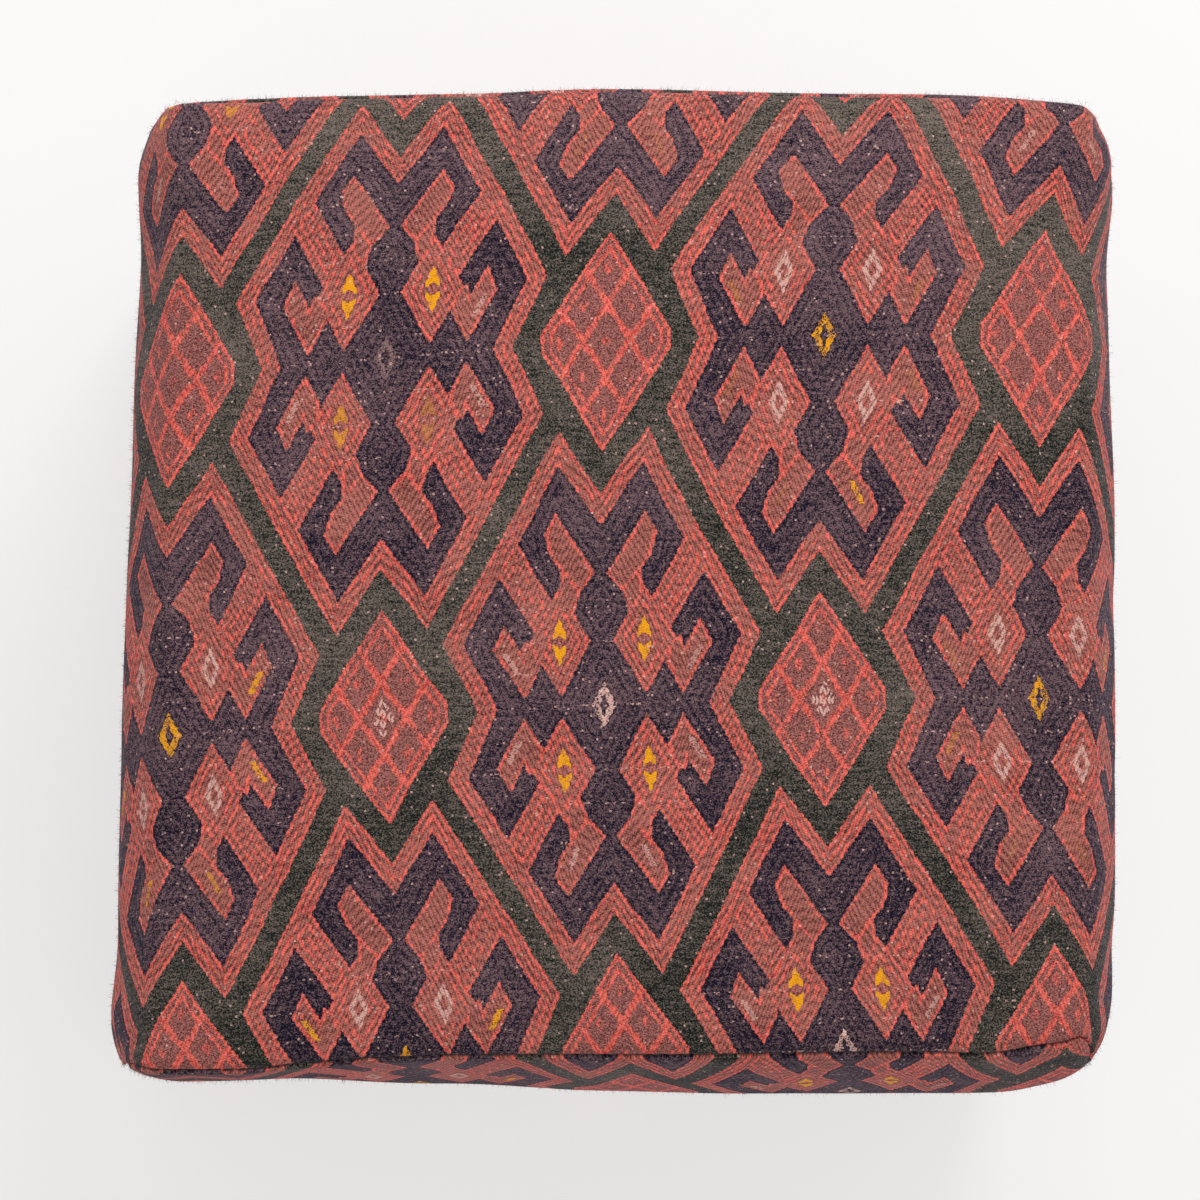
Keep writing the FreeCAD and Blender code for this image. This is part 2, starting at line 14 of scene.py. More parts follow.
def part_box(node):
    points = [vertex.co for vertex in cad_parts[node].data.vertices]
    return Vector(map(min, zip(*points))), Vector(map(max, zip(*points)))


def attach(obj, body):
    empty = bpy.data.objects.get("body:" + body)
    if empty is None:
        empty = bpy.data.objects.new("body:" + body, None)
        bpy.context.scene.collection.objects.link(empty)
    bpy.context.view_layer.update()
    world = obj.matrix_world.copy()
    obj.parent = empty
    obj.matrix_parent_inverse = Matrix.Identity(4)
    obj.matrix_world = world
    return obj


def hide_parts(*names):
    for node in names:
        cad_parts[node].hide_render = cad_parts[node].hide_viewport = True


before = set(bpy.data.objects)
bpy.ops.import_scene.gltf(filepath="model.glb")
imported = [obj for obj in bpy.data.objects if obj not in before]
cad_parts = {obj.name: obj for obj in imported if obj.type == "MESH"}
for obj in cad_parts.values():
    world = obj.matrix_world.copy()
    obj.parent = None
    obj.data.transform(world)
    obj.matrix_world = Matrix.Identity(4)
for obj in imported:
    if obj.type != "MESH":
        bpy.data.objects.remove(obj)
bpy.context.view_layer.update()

MM = 0.001
chance = random.Random(11)

# The stuffed cover
HALF_WIDTH = 226 * MM
HALF_DEPTH = 226 * MM
HEIGHT = 400 * MM
EDGE_ROLL = 24 * MM
CROWN_RADIUS = 2536 * MM
SHOULDER = 54 * MM
FRONT_DRAW = 14 * MM
BASE_DRAW = 14 * MM
SIDE_DRAW = 3 * MM
BACK_LEFT_LEAN = 12.5 * MM
CORNER_ROUND = {(-1, -1): 23 * MM, (1, -1): 27 * MM, (-1, 1): 11 * MM, (1, 1): 24 * MM}
BASE_SEAM_X = 199 * MM
KILIM_THICK = 3 * MM
HEM = 7 * MM
CELLS = 60

# The front seam as sewn, ahead of or behind a straight line, at places across the pouf
FRONT_SEAM_LINE = [
    (-226, -6), (-200, -7), (-165, -6.5), (-135, -3.5), (-110, -1.5),
    (-75, 0), (165, 1.5), (195, 6), (226, 13)]

# The back edge and the front panel, further out or in than a straight line, at places across the pouf
BACK_LINE = [
    (-226, -4), (-180, -4), (-140, -2.5), (-75, -0.5), (-7, 2.6),
    (60, 1.4), (127, 1.3), (172, 1), (226, -1.5)]
FRONT_BELLY_LINE = [
    (-226, 6), (-180, 7.5), (-140, 8.7), (-75, 6.5), (-7, 2.8), (60, 1.5), (150, 2), (226, 4)]
SEAM_LINE_FADE = 60 * MM

# How the stuffing swells the cover
STUFFING_PUSH = 4.0
STUFFING_STEPS = 20
SWELL_LIMIT = 2.5 * MM
LUMP_SPREAD = 70 * MM
LUMP_HIGH = 1.2 * MM

# Seams of the cover
FRONT_TUCK = 1.2 * MM
FRONT_SPREAD = 6 * MM
BACK_TUCK = 0.6 * MM
BACK_SPREAD = 14 * MM

# Top edges of the strip: radius of a tight turn, its angle, and radius of the slack turn that follows
LEFT_EDGE = (7 * MM, math.radians(62), 90 * MM)
RIGHT_EDGE = (14 * MM, math.radians(55), 50 * MM)
BACK_ROLL = 8 * MM
BACK_HOLLOW = 2.5 * MM
HOLLOW_FADE = 60 * MM
SEWN_UNDER = 2.5 * MM
GRADE_FROM = 0.8
GRADE_POWER = 1.6
BELLY = {(-1, -1): 4.5 * MM, (1, -1): 0.0, (-1, 1): 5 * MM, (1, 1): 7 * MM}
BELLY_FROM = 150 * MM
BELLY_RUN = 60 * MM
BASE_ROLL_RUN = EDGE_ROLL * math.pi / 2

# Where each end panel was cut from the woven length
FRONT_CUT = (-8.6 * MM, -140 * MM)
BACK_CUT = (41 * MM, 96 * MM)

# Stitches: length, gap and radius of each kind, and where the rows on the base lie
SEAM_STITCH = (5 * MM, 1.6 * MM, 0.55 * MM)
SIDE_STITCH = (4 * MM, 1.4 * MM, 0.5 * MM)
CENTRE_STITCH = (3 * MM, 1.0 * MM, 0.5 * MM)
TAPE_STITCH = (3 * MM, 1.0 * MM, 0.42 * MM)
STITCH_DEEP = 2.6 * MM
STITCH_LOW = 0.9 * MM
SIDE_ROW_X = 198.3 * MM
CENTRE_ROW = [(184 * MM, 4.4 * MM), (193 * MM, 0.8 * MM), (198 * MM, 0.8 * MM)]
TAPE_ROW = (182 * MM, 13.45 * MM, 4.4 * MM)

# Loose fibres of the wool
FIBRES = 16000
HANDFUL = 160
FIBRE_SHORT = 1.2 * MM
FIBRE_LONG = 3.6 * MM
FIBRE_THICK = 0.16 * MM
FIBRE_ROOT = 0.4 * MM
FIBRE_SPREAD = 0.55
EDGE_FUZZ = 6.0
EDGE_FUZZ_LOW = HEIGHT - SHOULDER - 20 * MM
EDGE_FUZZ_FROM = 0.93
FUZZ_LOW = 12 * MM

# Base, zip and insert
BASE_CELLS = (80, 42)
BED_HALF_LENGTH = 194 * MM
BED_HALF_WIDTH = 44 * MM
BED_END_SLOPE = 10 * MM
BED_SIDE_SLOPE = 18 * MM
ZIP_RISE = 4.6 * MM
SLOT_HALF_LENGTH = 183 * MM
SLOT_HALF_WIDTH = 7 * MM
BASE_THICK = 3 * MM
TAPE_EASE = 0.2 * MM
CALICO_THICK = 0.8 * MM
CREASE = 0.15 * MM
CREASE_SPREAD = 30 * MM
WADDING_SHARE = 0.968
WADDING_GAP = 0.3 * MM
WADDING_LOFT = 8 * MM
WADDING_FLOOR = 50 * MM
FOAM_EASE = 1.5 * MM
FOAM_PUFF = 0.3 * MM
FOAM_GRAIN = 50 * MM

# Studio and camera
FLOOR_PALE = 0.64
FLOOR_DROP = 0.2 * MM
FLOOR_HALF = 6.0
WORLD_LIGHT = 0.67
LAMP_PLACE = Vector((0.5, 2.0, 2.2))
LAMP_AIM = Vector((0, 0, 0.4))
LAMP_SIZE = 1.2
LAMP_POWER = 40
AIM = Vector((-10.1 * MM, -6.8 * MM, 396 * MM))
CAMERA_FAR = 2.6
CAMERA_TILT = math.radians(5.0)
CAMERA_LEFT = math.radians(3.5)
VIEW_WIDTH = 537.1 * MM
SENSOR = 36

TOP, BASE, LEFT, RIGHT, FRONT, BACK = range(6)


def new_piece(name, bm, material, body="pouf", smooth=True, outward=True):
    """Make an object of a bmesh, with one material, that moves with a body."""
    if outward:
        bmesh.ops.recalc_face_normals(bm, faces=bm.faces)
    mesh = bpy.data.meshes.new(name)
    bm.to_mesh(mesh)
    bm.free()
    mesh.materials.append(material)
    for face in mesh.polygons:
        face.use_smooth = smooth
    piece = bpy.data.objects.new(name, mesh)
    bpy.context.scene.collection.objects.link(piece)
    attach(piece, body)
    return piece


def srgb(red, green, blue):
    """Return a colour for a socket from its values on a screen, 0 to 255."""
    def linear(value):
        value /= 255
        return value / 12.92 if value <= 0.04045 else ((value + 0.055) / 1.055) ** 2.4
    return (linear(red), linear(green), linear(blue), 1.0)


class Reading:
    """A number that a material reads at each point; sums and tests on it become nodes."""

    def __init__(self, tree, socket):
        self.tree = tree
        self.socket = socket

    def sum_with(self, operation, *values):
        node = self.tree.nodes.new("ShaderNodeMath")
        node.operation = operation
        for socket, value in zip(node.inputs, values):
            if isinstance(value, Reading):
                self.tree.links.new(value.socket, socket)
            else:
                socket.default_value = value
        return Reading(self.tree, node.outputs[0])

    def __add__(self, other):
        return self.sum_with("ADD", self, other)

    def __sub__(self, other):
        return self.sum_with("SUBTRACT", self, other)

    def __rsub__(self, other):
        return self.sum_with("SUBTRACT", other, self)

    def __mul__(self, other):
        return self.sum_with("MULTIPLY", self, other)

    def __truediv__(self, other):
        return self.sum_with("DIVIDE", self, other)

    def __abs__(self):
        return self.sum_with("ABSOLUTE", self)

    def floor(self):
        return self.sum_with("FLOOR", self)

    def part(self):
        return self.sum_with("FRACT", self)

    def sine(self):
        return self.sum_with("SINE", self)

    def cosine(self):
        return self.sum_with("COSINE", self)

    def folded(self, length):
        return self.sum_with("PINGPONG", self, length)

    def least(self, other):
        return self.sum_with("MINIMUM", self, other)

    def most(self, other):
        return self.sum_with("MAXIMUM", self, other)

    def over(self, limit):
        return self.sum_with("GREATER_THAN", self, limit)

    def under(self, limit):
        return self.sum_with("LESS_THAN", self, limit)

    def eased(self, low, high):
        node = self.tree.nodes.new("ShaderNodeMapRange")
        node.interpolation_type = "SMOOTHSTEP"
        self.tree.links.new(self.socket, node.inputs[0])
        node.inputs[1].default_value = low
        node.inputs[2].default_value = high
        return Reading(self.tree, node.outputs[0])


def mixed(tree, share, first, second):
    """Return the colour between two colours; each is a socket or a value."""
    node = tree.nodes.new("ShaderNodeMix")
    node.data_type = "RGBA"
    if isinstance(share, Reading):
        tree.links.new(share.socket, node.inputs[0])
    else:
        node.inputs[0].default_value = share
    for socket, colour in ((node.inputs[6], first), (node.inputs[7], second)):
        if isinstance(colour, tuple):
            socket.default_value = colour
        else:
            tree.links.new(colour, socket)
    return node.outputs[2]


def joined(tree, x, y, z=0.0):
    """Return a vector socket from three readings or values."""
    node = tree.nodes.new("ShaderNodeCombineXYZ")
    for socket, value in zip(node.inputs, (x, y, z)):
        if isinstance(value, Reading):
            tree.links.new(value.socket, socket)
        else:
            socket.default_value = value
    return node.outputs[0]


def specks(tree, x, y, z=0.0):
    """Return a random reading, 0 to 1, that is the same within each unit cell."""
    node = tree.nodes.new("ShaderNodeTexWhiteNoise")
    node.noise_dimensions = "3D"
    tree.links.new(joined(tree, x.floor(), y.floor(), z), node.inputs["Vector"])
    return Reading(tree, node.outputs["Value"])


def cloudy(tree, x, y, z=0.0, detail=2.0):
    """Return a soft random reading, about 0.5, over units of one."""
    node = tree.nodes.new("ShaderNodeTexNoise")
    node.noise_dimensions = "3D"
    node.inputs["Scale"].default_value = 1.0
    node.inputs["Detail"].default_value = detail
    tree.links.new(joined(tree, x, y, z), node.inputs["Vector"])
    return Reading(tree, node.outputs[0])


def depth_in(x, y, corners):
    """Return how far a point is inside a convex shape, less than 0 outside it."""
    middle_x = sum(c[0] for c in corners) / len(corners)
    middle_y = sum(c[1] for c in corners) / len(corners)
    depth = None
    for (ax, ay), (bx, by) in zip(corners, corners[1:] + corners[:1]):
        length = math.hypot(bx - ax, by - ay)
        nx, ny = -(by - ay) / length, (bx - ax) / length
        offset = -(nx * ax + ny * ay)
        if nx * middle_x + ny * middle_y + offset < 0:
            nx, ny, offset = -nx, -ny, -offset
        edge = x * nx + (y * ny + offset)
        depth = edge if depth is None else depth.least(edge)
    return depth


def diamond(x, y, half_x, half_y):
    """Return how far a point is inside a diamond round the origin."""
    slope = half_x * half_y / math.hypot(half_x, half_y)
    return slope - (abs(x) * (slope / half_x) + abs(y) * (slope / half_y))


def plain_material(name, colour, roughness, metallic=0.0):
    """Make a material with one shader and return it with its tree and shader."""
    material = bpy.data.materials.new(name)
    material.use_nodes = True
    tree = material.node_tree
    shader = tree.nodes["Principled BSDF"]
    shader.inputs["Base Color"].default_value = colour
    shader.inputs["Roughness"].default_value = roughness
    shader.inputs["Metallic"].default_value = metallic
    return material, tree, shader


# Kilim colours, as they look on a screen; the dark and light ends of brown and coral also stand for painted
# shade across each float
GREEN_DARK = srgb(14, 24, 19)
GREEN_LIGHT = srgb(129, 114, 105)
NAVY_DARK = srgb(13, 11, 33)
NAVY_LIGHT = srgb(132, 102, 106)
BROWN_DARK = srgb(74, 34, 34)
BROWN_LIGHT = srgb(200, 121, 109)
BRICK_DARK = srgb(74, 34, 35)
BRICK_LIGHT = srgb(186, 117, 109)
CORAL_DARK = srgb(158, 54, 49)
CORAL_LIGHT = srgb(255, 122, 107)
PINK_WHITE = srgb(238, 190, 178)
YELLOW = srgb(248, 168, 18)

# Kilim weave, in millimetres of cloth
YARN = 1.64
STEP = 0.48
FLOAT = 4.6
FLOAT_LEAN = 0.9
RIB = 1.1
WANDER = 3.0
WANDER_SPREAD = 34.0
UNEVEN_STEP = 0.5
PALING_REACH = 240.0
PALING_TO_BACK = 1600.0

# How the pattern lies on the pouf: slants, bows and creeps are its moves, in millimetres, at a
# drift unit from the middle, and they grow no more past the drift limit
DRIFT_UNIT = 200.0
DRIFT_LIMIT = 1.2
COLUMN_SHIFT = 10.0
COLUMN_SCALE = 0.9982
COLUMN_SLANT = 1.3
COLUMN_CREEP = -1.6
COLUMN_BOW = -10.1
ROW_SHIFT = 53.6
ROW_SCALE = 0.9848
ROW_SLANT = -9.2
ROW_TWIST = -0.7
ROW_BOW = 4.7
ROW_CREEP = -4.5
BACK_PINCH = 0.0009
PINCH_FROM = 130.0

# Kilim pattern, in millimetres of cloth, for a quarter of a medallion from its middle
HALF_COLUMN = 98.4
ROW = 160.0
MEDALLION = [(-60.0, 9.7), (-60.0, -40.0), (37.5, -40.0), (56.5, 0.0), (71.0, 30.5), (20.0, 121.8)]
BORDER = 8.0
EYE = (19.3, 28.8)
EYE_HALF = (14.2, 24.4)
EYE_CORE = (4.4, 10.6)
EYE_CORE_WIDE = 3.1
EYE_GAP = (4.4, 3.1)
EYE_RING = (4.6, 9.8)
EYE_RING_HOLE = (2.2, 4.4)
HOOK_HEAD = [(20.5, 86.0), (26.0, 76.8), (23.0, 67.0), (10.0, 50.0), (2.3, 59.0)]
HOOK_STEM = [(18.2, 63.0), (19.3, 48.0), (12.4, 41.0), (9.3, 51.5)]
BAR = [(40.0, 77.3), (49.1, 63.6), (30.5, 33.0), (21.5, 45.5)]
CLAW = [(44.2, 38.0), (49.1, 26.5), (35.7, 4.0), (28.2, 18.2), (30.0, 26.4)]
NOTCH = [(44.2, 38.0), (36.6, 25.0), (32.6, 41.4)]
CENTRE_RING = (5.4, 10.4)
CENTRE_HOLE = (2.0, 5.2)
CLAW_MARK = (41.2, 20.2, 1.4, 4.8)
HOOK_MARK = (16.6, 68.4, 1.3, 5.0)
LOZENGE = (31.6, 48.4)
LOZENGE_WIDE = 28.8
LOZENGE_MARK = (5.6, 9.0)
LINE_GAP = 3.3
EDGE_LINE = 2.3
SPECKLED_ROWS = (0.0, 15.0, 28.6, 44.0)
NAVY_LINES = 0.22

# Seeds that choose which of the bright marks have lost their dye
EYE_WEAR = 15246.0
CLAW_WEAR = 15295.0
HOOK_WEAR = 8714.0
CENTRE_WEAR = 293.0


def woven_place(tree, across, along):
    """Return a point's place in the pattern, which steps from yarn to yarn and isn't quite straight."""
    column = (across / YARN).floor()
    jitter = specks(tree, column + 0.5, column * 0 + 0.5, 3.0) - 0.5
    wander = cloudy(tree, across / WANDER_SPREAD, along / WANDER_SPREAD, 5.0) - 0.5
    x = across + ((column + 0.5) * YARN - across) * STEP + wander * WANDER
    y = along + jitter * UNEVEN_STEP
    return x, y


def lattice_place(x, y):
    """Return a point's place on the lattice of medallions, which drifts a little over the cloth."""
    near_back = (y - PINCH_FROM).most(0.0).least(DRIFT_LIMIT * DRIFT_UNIT - PINCH_FROM)
    y = y + near_back * near_back * BACK_PINCH
    x_near = (x / DRIFT_UNIT).least(DRIFT_LIMIT).most(-DRIFT_LIMIT)
    y_near = (y / DRIFT_UNIT).least(DRIFT_LIMIT).most(-DRIFT_LIMIT)
    column = x * COLUMN_SCALE + COLUMN_SHIFT + y_near * COLUMN_SLANT
    column = column + x_near * x_near * COLUMN_CREEP + y_near * y_near * COLUMN_BOW
    row = y * ROW_SCALE + ROW_SHIFT + x_near * ROW_SLANT + x_near * y_near * ROW_TWIST
    row = row + x_near * x_near * ROW_BOW + y_near * y_near * ROW_CREEP
    return column, row * -1


def make_kilim():
    """Make the woven kilim: floats of yarn, the lattice of medallions and lozenges, specks and ribs."""
    material, tree, shader = plain_material("kilim", BROWN_LIGHT, 0.92)
    place = tree.nodes.new("ShaderNodeUVMap")
    place.uv_map = "cloth"
    split = tree.nodes.new("ShaderNodeSeparateXYZ")
    tree.links.new(place.outputs[0], split.inputs[0])
    across = Reading(tree, split.outputs[0]) * 1000
    along = Reading(tree, split.outputs[1]) * 1000

    # A quarter of a medallion or of the one next to it, which is the same turned round
    x_woven, y_woven = woven_place(tree, across, along)
    lattice_x, lattice_y = lattice_place(x_woven, y_woven)
    fold_x = lattice_x.folded(HALF_COLUMN)
    fold_y = lattice_y.folded(ROW)
    turned = (fold_x / HALF_COLUMN + fold_y / ROW).over(1.0)
    x = fold_x + turned * (HALF_COLUMN - fold_x * 2)
    y = fold_y + turned * (ROW - fold_y * 2)
    front_part = (lattice_y / (2 * ROW)).part().under(0.5)
    right_part = (lattice_x / (2 * HALF_COLUMN)).part().under(0.5)
    front_half = abs(front_part - turned)

    # Two kinds of medallion take turns
    unturned = (1 - turned) * 0.5
    cell_x = (lattice_x / (2 * HALF_COLUMN) + unturned).floor()
    cell_y = (lattice_y / (2 * ROW) + unturned).floor()
    kind_a = ((cell_x - cell_y) * 0.5).part().under(0.25)

    # Floats of yarn lie along the edges of the pattern, so they lean one way or the other
    lean = abs(front_part - right_part) * 2 - 1
    lean = lean * (1 - (x.under(20.0) * y.over(88.0)) * 2)
    column = (across / YARN).floor()
    float_place = along / FLOAT + specks(tree, column + 0.5, column * 0 + 0.5, 8.0)
    float_run = float_place.part() - 0.5
    float_side = (across / YARN + lean * float_run * FLOAT_LEAN).part() - 0.5
    # Each float is high in its middle: this bulge is its bump, and in the colour it is painted shade,
    # lighter in the middle and darker at the edges
    float_bulge_painted_shade = 1 - float_side * float_side * 1.7 - float_run * float_run * 1.2
    float_chance = specks(tree, column + 0.5, float_place, 9.0) - 0.5

    # Grain of the wool, streaks of the weft, dye that has faded in places, and colours that grow paler and
    # duller towards the back
    soft = cloudy(tree, across / 0.9, along / 0.75, 0.0, 1.0)
    fine = soft * 0.6 + specks(tree, across / 0.5, along / 0.5, 1.0) * 0.4
    streak = cloudy(tree, across / 9, along / 1.5, 2.0, 2.0) - 0.5
    patches = cloudy(tree, across / 26, along / 20, 4.0, 3.0) - 0.5
    to_back = along.least(PALING_REACH).most(-PALING_REACH) / PALING_TO_BACK
    faded = cloudy(tree, across / 110, along / 90, 6.0, 1.0) - 0.5 + to_back
    ground = (fine - 0.5) * 1.6 + 0.4 + streak * 0.8 + patches * 0.4 + faded * 0.55
    wool = float_bulge_painted_shade * 0.8 + (fine - 0.5) * 1.0 - 0.1 + patches * 0.5

    # Red shapes: how far inside one, so that lines follow its edge
    medallion = depth_in(x, y, MEDALLION)
    eye_x = x - EYE[0]
    eye_y = y - EYE[1]
    eye = diamond(eye_x, eye_y, *EYE_HALF)
    claw = depth_in(x, y, CLAW).least(0 - depth_in(x, y, NOTCH))
    hook = depth_in(x, y, HOOK_HEAD).most(depth_in(x, y, HOOK_STEM))
    bar = depth_in(x, y, BAR)
    band = medallion.least(BORDER - medallion)
    lined = band.most(eye).most(bar)
    filled = claw.most(hook)
    red = lined.most(filled)
    inside = filled.over(EDGE_LINE) * lined.under(0)
    uneven = cloudy(tree, across / 7, along / 14, 11.0, 1.0) - 0.5
    line = (((red + uneven * 2.2) / LINE_GAP - 0.25) * (2 * math.pi)).cosine() * 0.5 + 0.5
    line = line * (1 - inside * 0.8)
    red_share = line * 0.95 - 0.26 + float_chance * 0.6 + (fine - 0.5) * 0.5 - faded * 0.5 - patches * 1.2

    # Lozenges: a double outline round rows of small diamonds
    lozenge_a = diamond(fold_x - HALF_COLUMN, fold_y, *LOZENGE)
    lozenge_b = diamond(fold_x, fold_y - ROW, *LOZENGE)
    second = lozenge_b.over(lozenge_a)
    lozenge_x = (fold_x - HALF_COLUMN) + second * HALF_COLUMN
    lozenge_y = fold_y - second * ROW
    lozenge = lozenge_a.most(lozenge_b).least(LOZENGE_WIDE - abs(lozenge_x))
    slant_a = lozenge_x / LOZENGE[0] + lozenge_y / LOZENGE[1]
    slant_b = lozenge_x / LOZENGE[0] - lozenge_y / LOZENGE[1]
    cell_a = abs(((slant_a + 1) * 1.5).part() - 0.5)
    cell_b = abs(((slant_b + 1) * 1.5).part() - 0.5)
    from_cell = cell_a.most(cell_b)
    double_line = ((lozenge / LINE_GAP - 0.25) * (2 * math.pi)).cosine() * 0.5 + 0.5
    lozenge_line = (double_line * lozenge.under(LINE_GAP * 1.6)).most(from_cell.eased(0.36, 0.46) * 0.9)
    lozenge_line = lozenge_line.most(from_cell.under(0.11) * 0.6)
    lozenge_share = lozenge_line * 0.85 + float_chance * 0.5 + (fine - 0.5) * 0.5
    lozenge_share = lozenge_share - faded * 0.3 - patches * 0.6

    # Colours laid one over another
    green = mixed(tree, ground.eased(0.05, 1.0), GREEN_DARK, GREEN_LIGHT)
    navy = mixed(tree, (ground + (line - 0.5) * NAVY_LINES).eased(0.05, 1.0), NAVY_DARK, NAVY_LIGHT)
    # Brown and coral are mixed by the wool's grain and patches and by the float's painted shade
    brown = mixed(tree, wool.eased(0.0, 1.0), BROWN_DARK, BROWN_LIGHT)
    brick = mixed(tree, (fine * 1.6 - 0.3).eased(0.0, 1.0), BRICK_DARK, BRICK_LIGHT)
    coral = mixed(tree, wool.eased(0.0, 0.9), CORAL_DARK, CORAL_LIGHT)
    red_cloth = mixed(tree, red_share.eased(0.25, 0.7), brown, coral)
    lozenge_cloth = mixed(tree, lozenge_share.eased(0.3, 0.75), brick, coral)
    eye_bright = mixed(tree, kind_a, PINK_WHITE, YELLOW)
    far_bright = mixed(tree, kind_a, YELLOW, PINK_WHITE)

    colour = mixed(tree, lozenge.over(0), green, lozenge_cloth)
    colour = mixed(tree, medallion.over(0), colour, navy)
    colour = mixed(tree, red.over(0) * medallion.over(0), colour, red_cloth)

    # Bright marks: eyes, centres, and short strokes in the claws and hooks, some of them worn away
    def kept(seed, least):
        quarter = specks(tree, lattice_x / HALF_COLUMN, lattice_y / ROW, turned * 0.5 + seed)
        return quarter.eased(0.2, 0.6) * (1 - least) + least

    worn = (fine + float_chance * 0.25).eased(0.28, 0.5)
    core = diamond(eye_x, eye_y, *EYE_CORE).least(EYE_CORE_WIDE - abs(eye_x))
    lobes = core.over(0) * diamond(eye_x, eye_y, *EYE_GAP).under(0)
    ring_eye = diamond(eye_x, eye_y, *EYE_RING).over(0) * diamond(eye_x, eye_y, *EYE_RING_HOLE).under(0)
    colour = mixed(tree, core.over(-1.2) * 0.85, colour, brown)
    ring_eye = ring_eye * float_bulge_painted_shade.eased(0.35, 0.85) * 0.75
    lobes = lobes * kept(EYE_WEAR, 0.25)
    colour = mixed(tree, (ring_eye + kind_a * (lobes - ring_eye)) * (worn * 0.5 + 0.48), colour, eye_bright)
    ring_centre = diamond(x, y, *CENTRE_RING).over(0)
    colour = mixed(tree, ring_centre, colour, navy)
    ring_centre = ring_centre * diamond(x, y, *CENTRE_HOLE).under(0)
    centre_kept = specks(tree, cell_x, cell_y, turned * 0.5 + CENTRE_WEAR).eased(0.2, 0.6) * 0.8 + 0.2
    colour = mixed(tree, ring_centre * worn * (float_chance * 0.4 + 0.75) * centre_kept, colour, far_bright)
    claw_mark = abs(x - CLAW_MARK[0] - (y - CLAW_MARK[1]) * 0.55).under(CLAW_MARK[2])
    claw_mark = claw_mark * abs(y - CLAW_MARK[1]).under(CLAW_MARK[3])
    hook_mark = abs(x - HOOK_MARK[0] - (y - HOOK_MARK[1]) * 0.45).under(HOOK_MARK[2])
    hook_mark = hook_mark * abs(y - HOOK_MARK[1]).under(HOOK_MARK[3]) * front_half
    strokes = (claw_mark * kept(CLAW_WEAR, 0.12)).most(hook_mark * kept(HOOK_WEAR, 0.12))
    colour = mixed(tree, strokes * worn * (0.85 - kind_a * 0.4), colour, far_bright)
    lozenge_mark = diamond(lozenge_x, lozenge_y, *LOZENGE_MARK).over(0) * (1 - second)
    threads = float_bulge_painted_shade.over(0.78) * float_chance.over(-0.25)
    colour = mixed(tree, lozenge_mark * threads * 0.75, colour, PINK_WHITE)

    # Pale flecks of warp, in rows across the medallions and here and there elsewhere
    row_gap = abs(y - SPECKLED_ROWS[0])
    for row in SPECKLED_ROWS[1:]:
        row_gap = row_gap.least(abs(y - row))
    fleck = specks(tree, across / 0.95, along / 0.95, 7.0)
    flecks = fleck.over(0.993).most(row_gap.under(0.45) * medallion.over(BORDER) * fleck.over(0.87))
    colour = mixed(tree, flecks * (fine * 1.3 - 0.15), colour, PINK_WHITE)
    tree.links.new(colour, shader.inputs["Base Color"])

    rib_bump = ((along / RIB + column * 0.5) * (2 * math.pi)).sine() * 0.3
    height = float_bulge_painted_shade * 0.8 + rib_bump + soft * 1.2
    bump = tree.nodes.new("ShaderNodeBump")
    bump.inputs["Strength"].default_value = 0.5
    bump.inputs["Distance"].default_value = 0.5 * MM
    tree.links.new(height.socket, bump.inputs["Height"])
    tree.links.new(bump.outputs[0], shader.inputs["Normal"])
    shader.inputs["Sheen Weight"].default_value = 0.14
    shader.inputs["Sheen Roughness"].default_value = 0.4
    shader.inputs["Sheen Tint"].default_value = srgb(214, 206, 232)
    shader.inputs["Specular IOR Level"].default_value = 0.15
    return material


def edge_form(run):
    """Return the top edge that the cloth goes over on the left or right, and its width, height and run."""
    tight, turn, slack = LEFT_EDGE if run < 0 else RIGHT_EDGE
    wide = tight * math.sin(turn) + slack * (1 - math.sin(turn))
    high = tight * (1 - math.cos(turn)) + slack * math.cos(turn)
    return tight, turn, slack, wide, high, tight * turn + slack * (math.pi / 2 - turn)


def top_run(run):
    """Return the length of cloth from the top's middle to the left or right edge."""
    tight, turn, slack, wide, high, rolled = edge_form(run)
    return HALF_WIDTH - wide + tight * turn / 2


def strip_run(run):
    """Return the length of cloth from the top's middle to the left or right base seam."""
    tight, turn, slack, wide, high, rolled = edge_form(run)
    return HALF_WIDTH - wide + rolled + HEIGHT - high - EDGE_ROLL + BASE_ROLL_RUN


def on_section(run):
    """Return x, z and the outward direction on the section, at a length of cloth from the top's middle."""
    side = 1.0 if run >= 0 else -1.0
    tight, turn, slack, wide, high, rolled = edge_form(run)
    left = abs(run) - (HALF_WIDTH - wide)
    if left <= 0:
        return run, HEIGHT, 0.0, 1.0
    if left <= rolled:
        if left <= tight * turn:
            angle = left / tight
            x = HALF_WIDTH - wide + tight * math.sin(angle)
            z = HEIGHT - tight * (1 - math.cos(angle))
        else:
            angle = turn + (left - tight * turn) / slack
            x = HALF_WIDTH - slack * (1 - math.sin(angle))
            z = HEIGHT - high + slack * math.cos(angle)
        return side * x, z, side * math.sin(angle), math.cos(angle)
    left -= rolled
    if left <= HEIGHT - high - EDGE_ROLL:
        return side * HALF_WIDTH, HEIGHT - high - left, side, 0.0
    left -= HEIGHT - high - EDGE_ROLL
    angle = min(left / EDGE_ROLL, math.pi / 2)
    return (side * (HALF_WIDTH - EDGE_ROLL * (1 - math.cos(angle))), EDGE_ROLL * (1 - math.sin(angle)),
            side * math.cos(angle), -math.sin(angle))


def run_of(a, c, side):
    """Return the length of cloth at a place on the top or a side of the block, a and c from -1 to 1."""
    if side == TOP:
        return a * top_run(a)
    toward = 1 if side == RIGHT else -1
    edge = top_run(toward)
    return toward * (edge + (strip_run(toward) - edge) * (1 - c) / 2)


